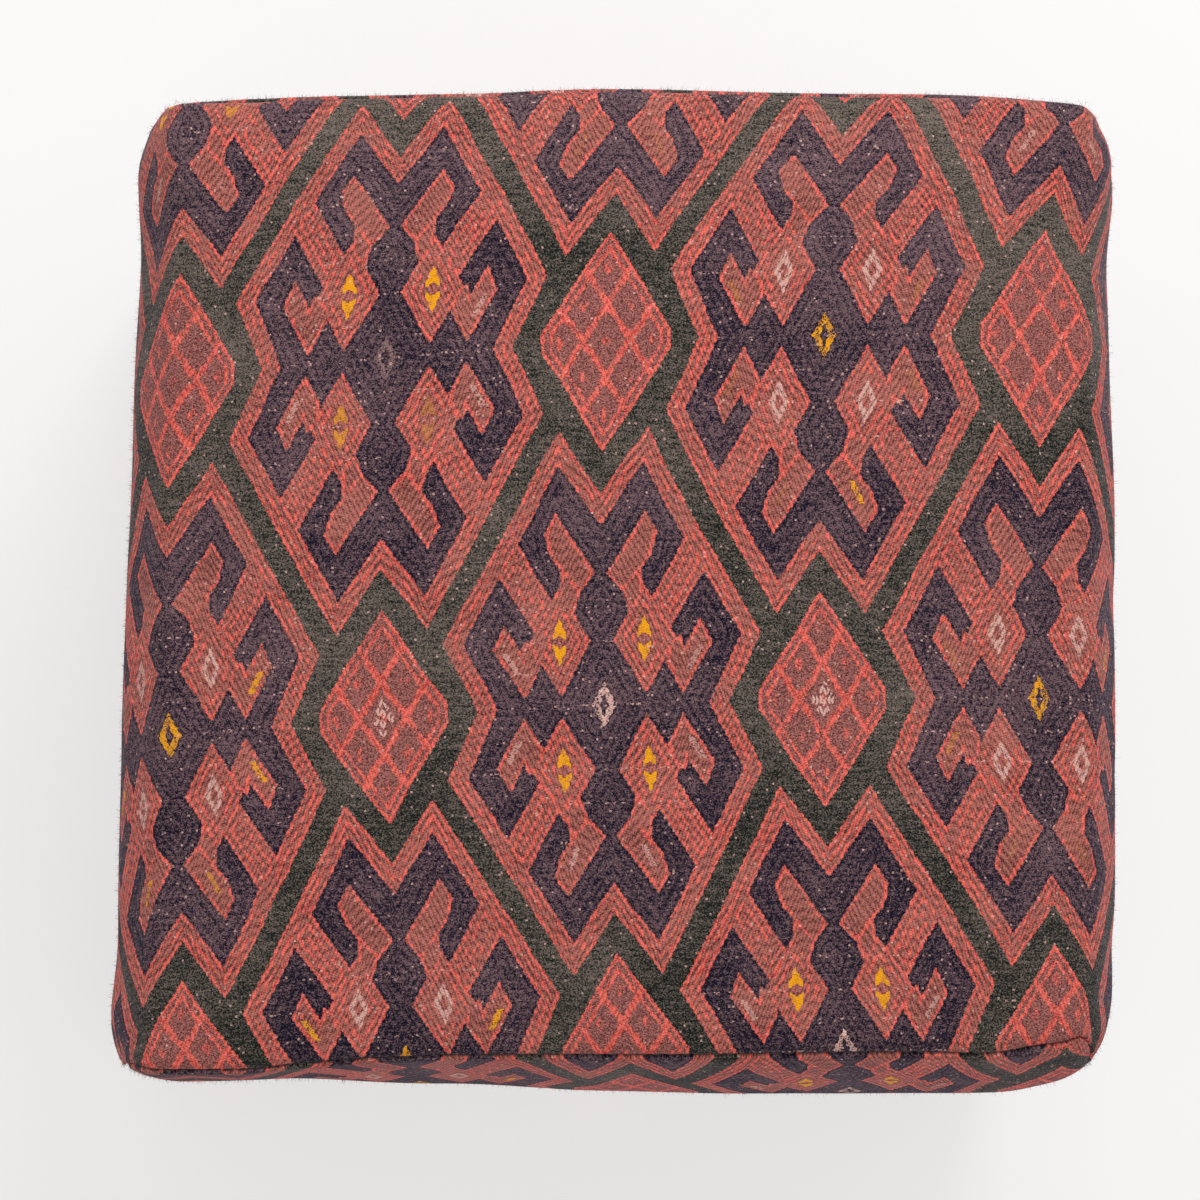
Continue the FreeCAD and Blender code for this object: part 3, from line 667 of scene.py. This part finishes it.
def roll_at(distance, b):
    """Return how far the cloth is rolled over at a distance from the back seam."""
    over = max(0.0, BACK_ROLL - distance)
    return BACK_ROLL - math.sqrt(BACK_ROLL ** 2 - over ** 2) if b > 0 else 0.0


def tuck_at(distance, b):
    """Return how far the cloth is drawn in at a distance from the seam of the front, b < 0, or the back."""
    deep, spread = (FRONT_TUCK, FRONT_SPREAD) if b < 0 else (BACK_TUCK, BACK_SPREAD)
    return deep * math.exp(-(distance / spread) ** 2)


def rim_point(a, c, b):
    """Return x and z on the edge of an end panel, where one of a and c is -1 or 1."""
    if c >= 1:
        x, z, nx, nz = on_section(run_of(a, c, TOP))
    elif abs(a) >= 1:
        x, z, nx, nz = on_section(run_of(a, c, RIGHT if a > 0 else LEFT))
    else:
        return a * BASE_SEAM_X, 0.0
    tuck = tuck_at(0, b) + roll_at(0, b)
    return x - nx * tuck, z - nz * tuck * min(1.0, z / EDGE_ROLL)


def end_panel_point(a, c, b):
    """Return x and z on an end panel, by blending between its four edges."""
    u = (a + 1) / 2
    v = (c + 1) / 2
    low, high = rim_point(a, -1, b), rim_point(a, 1, b)
    left, right = rim_point(-1, c, b), rim_point(1, c, b)
    corners = [rim_point(-1, -1, b), rim_point(1, -1, b), rim_point(-1, 1, b), rim_point(1, 1, b)]
    return tuple(
        (1 - v) * low[i] + v * high[i] + (1 - u) * left[i] + u * right[i]
        - ((1 - u) * (1 - v) * corners[0][i] + u * (1 - v) * corners[1][i]
           + (1 - u) * v * corners[2][i] + u * v * corners[3][i])
        for i in (0, 1))


def between(line, x):
    """Return a length from a list of places and values, both in millimetres."""
    x = max(line[0][0], min(line[-1][0], x / MM))
    for (x0, y0), (x1, y1) in zip(line, line[1:]):
        if x <= x1:
            share = (x - x0) / (x1 - x0)
            share = share * share * (3 - 2 * share)
            return (y0 + (y1 - y0) * share) * MM
    return line[-1][1] * MM


def fall_below(z):
    """Return how far down a height is from the fullest line, 0 there or above it and 1 at the floor."""
    return max(0.0, 1 - z / (HEIGHT - SHOULDER))


def reach_y(t, z):
    """Return y on the stuffed block; t is -1 in front and 1 at the back."""
    rise = max(0.0, (z - HEIGHT + SHOULDER) / SHOULDER)
    drawn = BASE_DRAW * fall_below(z) ** 2
    if t < 0:
        drawn += FRONT_DRAW * rise ** 2
    return t * (HALF_DEPTH - drawn)


def lean_at(x, t):
    """Return how far a point is moved to the right, where the left side leans in towards the back."""
    return BACK_LEFT_LEAN * (t + 1) / 2 * max(0.0, -x / HALF_WIDTH)


def seam_line(x, from_seam):
    """Return how far the front is moved by its seam not being straight, and how far that has faded."""
    near = max(0.0, 1 - from_seam / SEAM_LINE_FADE) ** 2
    return between(FRONT_SEAM_LINE, x) * near, 1 - near


def stuffed(x, t, z, from_top_seam):
    """Return where a point of the straight block lies once it is stuffed."""
    y = reach_y(t, z)
    wide = x * (1 - SIDE_DRAW / HALF_WIDTH * (fall_below(z) ** 2 + t * t))
    if t > 0:
        y += between(BACK_LINE, x) * t
    # Round the upright corners
    corner = CORNER_ROUND[(1 if x > 0 else -1, 1 if t > 0 else -1)]
    corner_x = abs(wide) - (HALF_WIDTH - corner)
    corner_y = abs(y) - (abs(reach_y(math.copysign(1, t), z)) - corner)
    if corner_x > 0 and corner_y > 0:
        keep = max(corner_x, corner_y) / math.hypot(corner_x, corner_y)
        wide -= math.copysign(corner_x * (1 - keep), wide)
        y -= math.copysign(corner_y * (1 - keep), y)
    if t < 0:
        shift, faded = seam_line(wide, from_top_seam)
        y += shift
        if t <= -1:
            y += between(FRONT_BELLY_LINE, wide) * faded * (1 - fall_below(z) ** 2)
    crown = (wide * wide + y * y) / (2 * CROWN_RADIUS)
    lumps = noise.noise(Vector((wide, y, z)) / LUMP_SPREAD) * LUMP_HIGH
    # Each side is fuller or flatter towards its ends
    bulge = max(0.0, min(1.0, (abs(y) - BELLY_FROM) / BELLY_RUN))
    belly = BELLY[(1 if wide > 0 else -1, 1 if y > 0 else -1)]
    wide += belly * bulge * bulge * (3 - 2 * bulge) * wide / HALF_WIDTH
    wide += lean_at(wide, t)
    return Vector((wide + lumps, y + lumps * 0.6, z - (crown - lumps) * (z / HEIGHT) ** 3))


def graded(b):
    """Return a place from front to back with points closer together along the back edge."""
    if b <= GRADE_FROM:
        return b
    return 1 - (1 - GRADE_FROM) * ((1 - b) / (1 - GRADE_FROM)) ** GRADE_POWER


def cover_point(a, b, c):
    """Return the place on the stuffed cover of a point on the surface of the cube from -1 to 1."""
    if abs(b) >= 1:
        x, z = end_panel_point(a, c, b)
        from_side = min((1 - abs(a)) * HALF_WIDTH, (1 - c) * HEIGHT / 2)
        point = stuffed(x, b, z, (1 - c) * HEIGHT / 2)
        point.y -= b * tuck_at(from_side, b)
        if b > 0:
            near = max(0.0, 1 - from_side / HOLLOW_FADE)
            point.y -= BACK_HOLLOW * near ** 2 * min(1.0, from_side / BACK_ROLL)
        return point
    if c <= -1:
        return stuffed(a * BASE_SEAM_X, b, 0.0, HEIGHT)
    run = run_of(a, c, TOP if c >= 1 else RIGHT if a > 0 else LEFT)
    x, z, nx, nz = on_section(run)
    from_seam = (1 - abs(b)) * HALF_DEPTH
    tuck = tuck_at(from_seam, b) + roll_at(from_seam, b)
    lift = min(1.0, z / EDGE_ROLL)
    point = stuffed(x - nx * tuck, b, z - nz * tuck * lift, from_seam + (HEIGHT - z))
    if b:
        point.y -= math.copysign(1, b) * tuck_at(0, b) * abs(b)
    return point


def cloth_place(a, b, c, side):
    """Return the place on the woven length, in metres, of a point on a panel."""
    if side in (TOP, LEFT, RIGHT):
        run = run_of(a, c, side)
        y = reach_y(b, HEIGHT)
        over = max(0.0, BACK_ROLL - (1 - b) * HALF_DEPTH)
        y += BACK_ROLL * math.asin(over / BACK_ROLL) - over
        if b < 0:
            y += seam_line(run, (1 - abs(b)) * HALF_DEPTH + max(0.0, abs(run) - top_run(run)))[0]
        return run + lean_at(max(-HALF_WIDTH, run), b), y
    x, z = end_panel_point(a, c, b)
    if side == FRONT:
        return x + FRONT_CUT[0], FRONT_CUT[1] - (HEIGHT - z)
    return BACK_CUT[0] - x, BACK_CUT[1] - (HEIGHT - z)


def make_cover():
    """Make the whole outside of the stuffed cover, with its panels and places on the cloth marked."""
    bm = bmesh.new()
    bmesh.ops.create_cube(bm, size=2.0)
    bmesh.ops.subdivide_edges(bm, edges=bm.edges, cuts=CELLS - 1, use_grid_fill=True)
    panel = bm.faces.layers.int.new("panel")
    cloth = bm.loops.layers.uv.new("cloth")
    step = 2 / CELLS
    for face in bm.faces:
        middle = face.calc_center_median()
        side = max(range(3), key=lambda i: abs(middle[i]))
        far = middle[side] > 0
        face[panel] = ((LEFT, RIGHT), (FRONT, BACK), (BASE, TOP))[side][far]
    for face in bm.faces:
        if face[panel] != BASE:
            for loop in face.loops:
                a, b, c = (round(v / step) * step for v in loop.vert.co)
                loop[cloth].uv = cloth_place(a, graded(b), c, face[panel])
    for vert in bm.verts:
        a, b, c = (round(v / step) * step for v in vert.co)
        vert.co = cover_point(a, graded(b), c)
    bmesh.ops.recalc_face_normals(bm, faces=bm.faces)
    return bm


def stuff_cover(cover):
    """Let the cover swell under the push of its stuffing, held at its seams, by a small move at most."""
    panel = cover.faces.layers.int["panel"]
    piece_of = {TOP: 0, LEFT: 0, RIGHT: 0, FRONT: 1, BACK: 2, BASE: 3}
    cover.verts.ensure_lookup_table()
    held = []
    for vert in cover.verts:
        pieces = {piece_of[face[panel]] for face in vert.link_faces}
        if len(pieces) > 1 or 3 in pieces:
            held.append(vert.index)
    mesh = bpy.data.meshes.new("cover_form")
    cover.to_mesh(mesh)
    form = bpy.data.objects.new("cover_form", mesh)
    bpy.context.scene.collection.objects.link(form)
    seams = form.vertex_groups.new(name="seams")
    seams.add(held, 1.0, "REPLACE")
    swell = form.modifiers.new("stuffing", "CLOTH")
    swell.settings.quality = 4
    swell.settings.vertex_group_mass = "seams"
    swell.settings.use_pressure = True
    swell.settings.uniform_pressure_force = STUFFING_PUSH
    swell.settings.effector_weights.gravity = 0
    for step in range(1, STUFFING_STEPS + 1):
        bpy.context.scene.frame_set(step)
    swollen = form.evaluated_get(bpy.context.evaluated_depsgraph_get()).to_mesh()
    for vert, after in zip(cover.verts, swollen.vertices):
        move = after.co - vert.co
        if move.length > SWELL_LIMIT:
            move *= SWELL_LIMIT / move.length
        vert.co += move
        vert.co.z = max(0.0, vert.co.z)
    bpy.context.scene.frame_set(1)
    bpy.data.objects.remove(form)
    bpy.data.meshes.remove(mesh)


def cover_panel(cover, name, kept, material, node, under=0.0):
    """Make one cut panel of the cover, with its hems turned in and its edge sewn under."""
    bm = cover.copy()
    panel = bm.faces.layers.int["panel"]
    inward = bm.verts.layers.float_vector.new("inward")
    bm.normal_update()
    for vert in bm.verts:
        vert[inward] = -vert.normal
    bmesh.ops.delete(bm, geom=[f for f in bm.faces if f[panel] not in kept], context="FACES")
    for vert in bm.verts:
        if vert.is_boundary and vert.co.z > EDGE_ROLL:
            vert.co += vert[inward] * under
    hems = bmesh.ops.extrude_edge_only(bm, edges=[e for e in bm.edges if e.is_boundary])
    for vert in hems["geom"]:
        if isinstance(vert, bmesh.types.BMVert):
            vert.co += vert[inward] * HEM
    piece = new_piece(name, bm, material, outward=False)
    smooth = piece.modifiers.new("weave curve", "SUBSURF")
    smooth.levels = 1
    smooth.render_levels = 1
    thick = piece.modifiers.new("cloth thickness", "SOLIDIFY")
    thick.thickness = KILIM_THICK
    thick.offset = -1
    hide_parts(node)
    return piece


def wool_fuzz(cover, material):
    """Make the loose fibres that stand out of the wool, closer together along the edges."""
    panel = cover.faces.layers.int["panel"]
    cloth = cover.loops.layers.uv["cloth"]
    faces = [f for f in cover.faces if f[panel] != BASE and f.calc_center_median().z > FUZZ_LOW]
    nearness = []
    for face in faces:
        middle = face.calc_center_median()
        high = middle.z > EDGE_FUZZ_LOW
        outer = max(abs(middle.x) / HALF_WIDTH, abs(middle.y) / HALF_DEPTH) > EDGE_FUZZ_FROM
        nearness.append(EDGE_FUZZ if high and outer else 1.0)
    fuzz = bmesh.new()
    for handful in range(FIBRES // HANDFUL):
        tuft = bmesh.new()
        colour_place = tuft.loops.layers.uv.new("cloth")
        for face in chance.choices(faces, weights=nearness, k=HANDFUL):
            s, t = chance.random(), chance.random()
            shares = ((1 - s) * (1 - t), s * (1 - t), s * t, (1 - s) * t)
            root = Vector()
            place = Vector((0, 0))
            for loop, share in zip(face.loops, shares):
                root += loop.vert.co * share
                place += loop[cloth].uv * share
            aim = face.normal * chance.uniform(0.3, 1.0)
            aim += Vector([chance.gauss(0, FIBRE_SPREAD) for _ in range(3)])
            long = chance.uniform(FIBRE_SHORT, FIBRE_LONG)
            turn = aim.to_track_quat("Z", "Y")
            foot = Matrix.LocRotScale(root - face.normal * FIBRE_ROOT, turn, None)
            form = foot @ Matrix.Translation((0, 0, long / 2))
            cone = bmesh.ops.create_cone(
                tuft, segments=3, radius1=FIBRE_THICK / 2, radius2=0, depth=long, matrix=form)
            for vert in cone["verts"]:
                for loop in vert.link_loops:
                    loop[colour_place].uv = place
        mesh = bpy.data.meshes.new("tuft")
        tuft.to_mesh(mesh)
        tuft.free()
        fuzz.from_mesh(mesh)
        bpy.data.meshes.remove(mesh)
    piece = new_piece("kilim_fuzz", fuzz, material, outward=False)
    return piece


def seam_path(b):
    """Return the points along the seam of an end panel, from one base seam to the other."""
    step = 2 / CELLS
    up = [-1 + step * i for i in range(CELLS + 1)]
    around = [(-1, c) for c in up] + [(a, 1) for a in up[1:]] + [(1, c) for c in up[-2::-1]]
    path = []
    for a, c in around:
        point = cover_point(a, b, c)
        inward = Vector((-a * (abs(a) >= 1), -b, -c * (c >= 1))).normalized()
        point += inward * STITCH_DEEP
        point.z = max(STITCH_LOW, point.z)
        path.append(point)
    return path


def stitches(name, paths, kind, material, node):
    """Make a row of stitches of one kind along each path, in one piece."""
    long, gap, radius = kind
    bm = bmesh.new()
    for path in paths:
        spent = 0.0
        due = 0.0
        for start, end in zip(path, path[1:]):
            length = (end - start).length
            while due < spent + length:
                place = start.lerp(end, (due - spent) / length)
                turn = (end - start).to_track_quat("X", "Z")
                form = Matrix.LocRotScale(place, turn, Vector((long / 2, radius, radius)))
                bmesh.ops.create_uvsphere(bm, u_segments=6, v_segments=5, radius=1.0, matrix=form)
                due += long + gap
            spent += length
    piece = new_piece(name, bm, material)
    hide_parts(node)
    return piece


def bed_rise(x, y):
    """Return how far the base cloth is raised where the zip lies in it."""
    from_end = (BED_HALF_LENGTH - abs(x)) / BED_END_SLOPE
    from_side = (BED_HALF_WIDTH - abs(y)) / BED_SIDE_SLOPE
    return ZIP_RISE * max(0.0, min(1.0, from_end, from_side))


def base_cloth(name, side, material, node):
    """Make one half of the base, with its share of the zip's opening and raised bed."""
    low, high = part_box(node)
    bm = bmesh.new()
    form = Matrix.LocRotScale(
        Vector(((low.x + high.x) / 2, (low.y + high.y) / 2, 0)), None,
        Vector(((high.x - low.x) / 2, (high.y - low.y) / 2, 1)))
    across, along = BASE_CELLS
    bmesh.ops.create_grid(bm, x_segments=across, y_segments=along, size=1.0, matrix=form)
    for cut_at, facing in (((-SLOT_HALF_LENGTH, 0, 0), (1, 0, 0)), ((SLOT_HALF_LENGTH, 0, 0), (1, 0, 0)),
                           ((0, side * SLOT_HALF_WIDTH, 0), (0, 1, 0))):
        everything = bm.verts[:] + bm.edges[:] + bm.faces[:]
        bmesh.ops.bisect_plane(bm, geom=everything, plane_co=cut_at, plane_no=facing)
    opening = []
    for face in bm.faces:
        middle = face.calc_center_median()
        if abs(middle.x) < SLOT_HALF_LENGTH and abs(middle.y) < SLOT_HALF_WIDTH:
            opening.append(face)
    bmesh.ops.delete(bm, geom=opening, context="FACES")
    for vert in bm.verts:
        vert.co.z = bed_rise(vert.co.x, vert.co.y)
    bmesh.ops.recalc_face_normals(bm, faces=bm.faces)
    if sum(f.normal.z for f in bm.faces) > 0:
        bmesh.ops.reverse_faces(bm, faces=bm.faces)
    piece = new_piece(name, bm, material, outward=False)
    thick = piece.modifiers.new("doubled canvas", "SOLIDIFY")
    thick.thickness = BASE_THICK
    thick.offset = -1
    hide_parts(node)
    return piece


def foam_slab(name, node, material):
    """Make a slab of foam in the space of a solid, with eased edges and slightly full faces."""
    low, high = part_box(node)
    bm = bmesh.new()
    form = Matrix.LocRotScale((low + high) / 2, None, high - low)
    bmesh.ops.create_cube(bm, size=1.0, matrix=form)
    bmesh.ops.bevel(
        bm, geom=bm.edges[:], offset=FOAM_EASE, offset_type="OFFSET", segments=3, profile=0.5,
        affect="EDGES", material=-1)
    long_edges = [e for e in bm.edges if e.calc_length() > 4 * FOAM_EASE]
    bmesh.ops.subdivide_edges(bm, edges=long_edges, cuts=7, use_grid_fill=True)
    for vert in bm.verts:
        vert.co -= Vector(noise.noise_vector(vert.co / FOAM_GRAIN)) * FOAM_PUFF
    piece = new_piece(name, bm, material)
    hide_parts(node)
    return piece


def bag_panel(name, node, kept, material):
    """Make the calico bag, or the panel in its base, in the space of its solid."""
    low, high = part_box(node)
    bm = bmesh.new()
    form = Matrix.LocRotScale((low + high) / 2, None, high - low)
    bmesh.ops.create_cube(bm, size=1.0, matrix=form)
    bmesh.ops.recalc_face_normals(bm, faces=bm.faces)
    bmesh.ops.delete(bm, geom=[f for f in bm.faces if not kept(f.normal.z)], context="FACES")
    bmesh.ops.subdivide_edges(bm, edges=bm.edges[:], cuts=24, use_grid_fill=True)
    for vert in bm.verts:
        vert.co += Vector(noise.noise_vector(vert.co / CREASE_SPREAD)) * CREASE
    piece = new_piece(name, bm, material, outward=False)
    thick = piece.modifiers.new("calico", "SOLIDIFY")
    thick.thickness = CALICO_THICK
    thick.offset = -1
    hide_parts(node)
    return piece


def wadding_layer(cover, name, node, top, material):
    """Make the fibre wadding over the bag, above or below the join, inside the cover's own form."""
    low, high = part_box(node)
    bm = cover.copy()
    middle = Vector((0, 0, HEIGHT / 2))
    for vert in bm.verts:
        vert.co = middle + (vert.co - middle) * WADDING_SHARE
    join = low.z if top else high.z
    gap = WADDING_GAP if top else -WADDING_GAP
    everything = bm.verts[:] + bm.edges[:] + bm.faces[:]
    bmesh.ops.bisect_plane(
        bm, geom=everything, plane_co=(0, 0, join + gap), plane_no=(0, 0, 1),
        clear_inner=top, clear_outer=not top)
    if not top:
        floor_faces = [f for f in bm.faces if f.normal.z < -0.9 and f.calc_center_median().z < WADDING_FLOOR]
        bmesh.ops.delete(bm, geom=floor_faces, context="FACES")
    piece = new_piece(name, bm, material, outward=False)
    thick = piece.modifiers.new("loft", "SOLIDIFY")
    thick.thickness = WADDING_LOFT
    thick.offset = -1
    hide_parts(node)
    return piece


def zip_tape(name, node, material):
    """Make one woven zip tape in the space of its solid."""
    low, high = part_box(node)
    bm = bmesh.new()
    form = Matrix.LocRotScale((low + high) / 2, None, high - low)
    bmesh.ops.create_cube(bm, size=1.0, matrix=form)
    bmesh.ops.bevel(
        bm, geom=bm.edges[:], offset=TAPE_EASE, offset_type="OFFSET", segments=2, profile=0.5,
        affect="EDGES", material=-1)
    piece = new_piece(name, bm, material, smooth=False)
    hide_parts(node)
    return piece


def woven_material(name, dark, light, pitch, roughness=0.95):
    """Make a plain woven cloth, with threads of a pitch in metres on Object coordinates."""
    material, tree, shader = plain_material(name, light, roughness)
    place = tree.nodes.new("ShaderNodeTexCoord")
    split = tree.nodes.new("ShaderNodeSeparateXYZ")
    tree.links.new(place.outputs["Object"], split.inputs[0])
    x, y, z = (Reading(tree, split.outputs[i]) / pitch for i in range(3))
    over = ((x * math.pi).sine() * (y * math.pi).sine() + (z * math.pi).sine() * 0.5) * 0.5 + 0.5
    slubs = cloudy(tree, x / 7, y / 7, 1.0, 3.0)
    tree.links.new(mixed(tree, over * 0.6 + slubs * 0.5 - 0.1, dark, light), shader.inputs["Base Color"])
    bump = tree.nodes.new("ShaderNodeBump")
    bump.inputs["Strength"].default_value = 0.4
    bump.inputs["Distance"].default_value = 0.3 * MM
    tree.links.new(over.socket, bump.inputs["Height"])
    tree.links.new(bump.outputs[0], shader.inputs["Normal"])
    return material


def mottled_material(name, dark, light, grain, roughness, metallic=0.0):
    """Make a finish with soft mottling, of a grain in metres on Object coordinates."""
    material, tree, shader = plain_material(name, light, roughness, metallic)
    place = tree.nodes.new("ShaderNodeTexCoord")
    split = tree.nodes.new("ShaderNodeSeparateXYZ")
    tree.links.new(place.outputs["Object"], split.inputs[0])
    x, y, z = (Reading(tree, split.outputs[i]) / grain for i in range(3))
    patches = cloudy(tree, x, y, z, 4.0)
    tree.links.new(mixed(tree, patches.eased(0.3, 0.7), dark, light), shader.inputs["Base Color"])
    bump = tree.nodes.new("ShaderNodeBump")
    bump.inputs["Strength"].default_value = 0.15
    bump.inputs["Distance"].default_value = 0.2 * MM
    tree.links.new(patches.socket, bump.inputs["Height"])
    tree.links.new(bump.outputs[0], shader.inputs["Normal"])
    return material


def make_studio():
    """Make the floor, which looks paler than it is lit and still keeps the shadow, with painted shade
    darkening it towards the front and the left, and the light.
    """
    paint, tree, shader = plain_material("studio floor", (0.94, 0.935, 0.93, 1), 0.9)
    place = tree.nodes.new("ShaderNodeTexCoord")
    split = tree.nodes.new("ShaderNodeSeparateXYZ")
    tree.links.new(place.outputs["Object"], split.inputs[0])
    # Painted shade: the floor's glow is darker towards the front and a little towards the left, down to 0.85
    glow_with_painted_shade = Reading(tree, split.outputs[0]) * 0.03 + Reading(tree, split.outputs[1]) * 0.12 + 1.0
    glow_with_painted_shade = glow_with_painted_shade.least(1.0).most(0.85)
    glow = tree.nodes.new("ShaderNodeEmission")
    tree.links.new(joined(tree, glow_with_painted_shade, glow_with_painted_shade * 0.997, glow_with_painted_shade * 0.993), glow.inputs[0])
    seen = tree.nodes.new("ShaderNodeLightPath")
    share = Reading(tree, seen.outputs["Is Camera Ray"]).most(Reading(tree, seen.outputs["Is Glossy Ray"]))
    share = share.most(Reading(tree, seen.outputs["Is Transmission Ray"])) * FLOOR_PALE
    blend = tree.nodes.new("ShaderNodeMixShader")
    tree.links.new(share.socket, blend.inputs[0])
    tree.links.new(shader.outputs[0], blend.inputs[1])
    tree.links.new(glow.outputs[0], blend.inputs[2])
    tree.links.new(blend.outputs[0], tree.nodes["Material Output"].inputs[0])
    bm = bmesh.new()
    bmesh.ops.create_grid(bm, x_segments=1, y_segments=1, size=FLOOR_HALF)
    mesh = bpy.data.meshes.new("studio_floor")
    bm.to_mesh(mesh)
    bm.free()
    mesh.materials.append(paint)
    floor = bpy.data.objects.new("studio_floor", mesh)
    floor.location.z = -FLOOR_DROP
    bpy.context.scene.collection.objects.link(floor)

    world = bpy.data.worlds.new("studio")
    world.use_nodes = True
    world.node_tree.nodes["Background"].inputs[0].default_value = (1, 0.995, 0.99, 1)
    world.node_tree.nodes["Background"].inputs[1].default_value = WORLD_LIGHT
    bpy.context.scene.world = world

    lamp_data = bpy.data.lights.new("window", "AREA")
    lamp_data.size = LAMP_SIZE
    lamp_data.energy = LAMP_POWER
    lamp = bpy.data.objects.new("window", lamp_data)
    bpy.context.scene.collection.objects.link(lamp)
    lamp.location = LAMP_PLACE
    lamp.rotation_mode = "QUATERNION"
    lamp.rotation_quaternion = (LAMP_AIM - lamp.location).to_track_quat("-Z", "Y")


def make_camera():
    """Make the camera, almost straight above the pouf."""
    back_axis = Vector((-math.sin(CAMERA_LEFT), -math.sin(CAMERA_TILT), 1.0)).normalized()
    right_axis = Vector((0, 1, 0)).cross(back_axis).normalized()
    up_axis = back_axis.cross(right_axis)
    data = bpy.data.cameras.new("camera")
    data.sensor_width = SENSOR
    data.lens = SENSOR * CAMERA_FAR / VIEW_WIDTH
    camera = bpy.data.objects.new("camera", data)
    bpy.context.scene.collection.objects.link(camera)
    camera.location = AIM + back_axis * CAMERA_FAR
    camera.rotation_mode = "QUATERNION"
    camera.rotation_quaternion = Matrix((right_axis, up_axis, back_axis)).transposed().to_quaternion()
    bpy.context.scene.camera = camera


def wear(node, material):
    """Give a kept solid its finish."""
    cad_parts[node].data.materials.clear()
    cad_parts[node].data.materials.append(material)


kilim = make_kilim()
canvas = woven_material("base canvas", srgb(58, 53, 48), srgb(92, 84, 76), 0.9 * MM)
thread = mottled_material("sewing thread", srgb(50, 42, 40), srgb(84, 70, 66), 0.8 * MM, 0.8)
tape = woven_material("zip tape", srgb(24, 23, 24), srgb(48, 45, 45), 0.5 * MM)
tooth_plastic = mottled_material("zip teeth", srgb(30, 28, 28), srgb(44, 41, 40), 4 * MM, 0.35)
brass = mottled_material("antique brass", srgb(116, 88, 48), srgb(176, 142, 86), 3 * MM, 0.32, 1.0)
calico = woven_material("calico", srgb(196, 184, 158), srgb(228, 218, 194), 0.7 * MM)
fibre = mottled_material("wadding", srgb(226, 225, 220), srgb(246, 246, 243), 6 * MM, 1.0)
foam = mottled_material("foam", srgb(208, 190, 138), srgb(236, 222, 176), 1.5 * MM, 1.0)

cover = make_cover()
stuff_cover(cover)
saddle = cover_panel(cover, "kilim_saddle_cloth", (TOP, LEFT, RIGHT), kilim, "kilim_saddle")
front = cover_panel(cover, "kilim_front_cloth", (FRONT,), kilim, "kilim_front")
back = cover_panel(cover, "kilim_back_cloth", (BACK,), kilim, "kilim_back", SEWN_UNDER)
fuzz = wool_fuzz(cover, kilim)
wadding_layer(cover, "wadding_top_fibre", "wadding_top", True, fibre)
wadding_layer(cover, "wadding_wrap_fibre", "wadding_wrap", False, fibre)
cover.free()
hems = 2 * HEM
saddle_flat = (strip_run(-1) + strip_run(1) + hems, 2 * HALF_DEPTH + hems)

stitches("front_seam_stitches", [seam_path(-1)], SEAM_STITCH, thread, "front_seam")
stitches("back_seam_stitches", [seam_path(1)], SEAM_STITCH, thread, "back_seam")
base_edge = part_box("base_cloth_back")[1].y
side_rows = []
centre_rows = []
tape_rows = []
for side in (-1, 1):
    x = side * SIDE_ROW_X
    side_rows.append([Vector((x, -base_edge, STITCH_LOW)), Vector((x, base_edge, STITCH_LOW))])
    centre_rows.append([Vector((side * x, 0, z)) for x, z in CENTRE_ROW])
    x, y, z = TAPE_ROW
    tape_rows.append([Vector((-x, side * y, z)), Vector((x, side * y, z))])
stitches("side_base_stitches", side_rows, SIDE_STITCH, thread, "side_base_seams")
stitches("base_centre_stitches", centre_rows, CENTRE_STITCH, thread, "base_centre_seams")
stitches("zip_tape_stitches", tape_rows, TAPE_STITCH, thread, "zip_stitching")

base_cloth("base_canvas_front", -1, canvas, "base_cloth_front")
base_cloth("base_canvas_back", 1, canvas, "base_cloth_back")
zip_tape("zip_tape_front_weave", "zip_tape_front", tape)
zip_tape("zip_tape_back_weave", "zip_tape_back", tape)
for node in ("zip_teeth_front", "zip_teeth_back", "zip_top_stops", "zip_bottom_stop"):
    wear(node, tooth_plastic)
for node in ("zip_slider", "zip_pull"):
    wear(node, brass)

bag = bag_panel("calico_bag", "liner_bag", lambda nz: nz > -0.5, calico)
bag_base = bag_panel("calico_base", "liner_base", lambda nz: nz < -0.5, calico)
foam_slab("foam_top_block", "foam_top_slab", foam)
foam_slab("foam_middle_block", "foam_middle_slab", foam)
foam_slab("foam_base_block", "foam_base_slab", foam)

make_studio()
make_camera()
bpy.context.scene.view_settings.view_transform = "Standard"
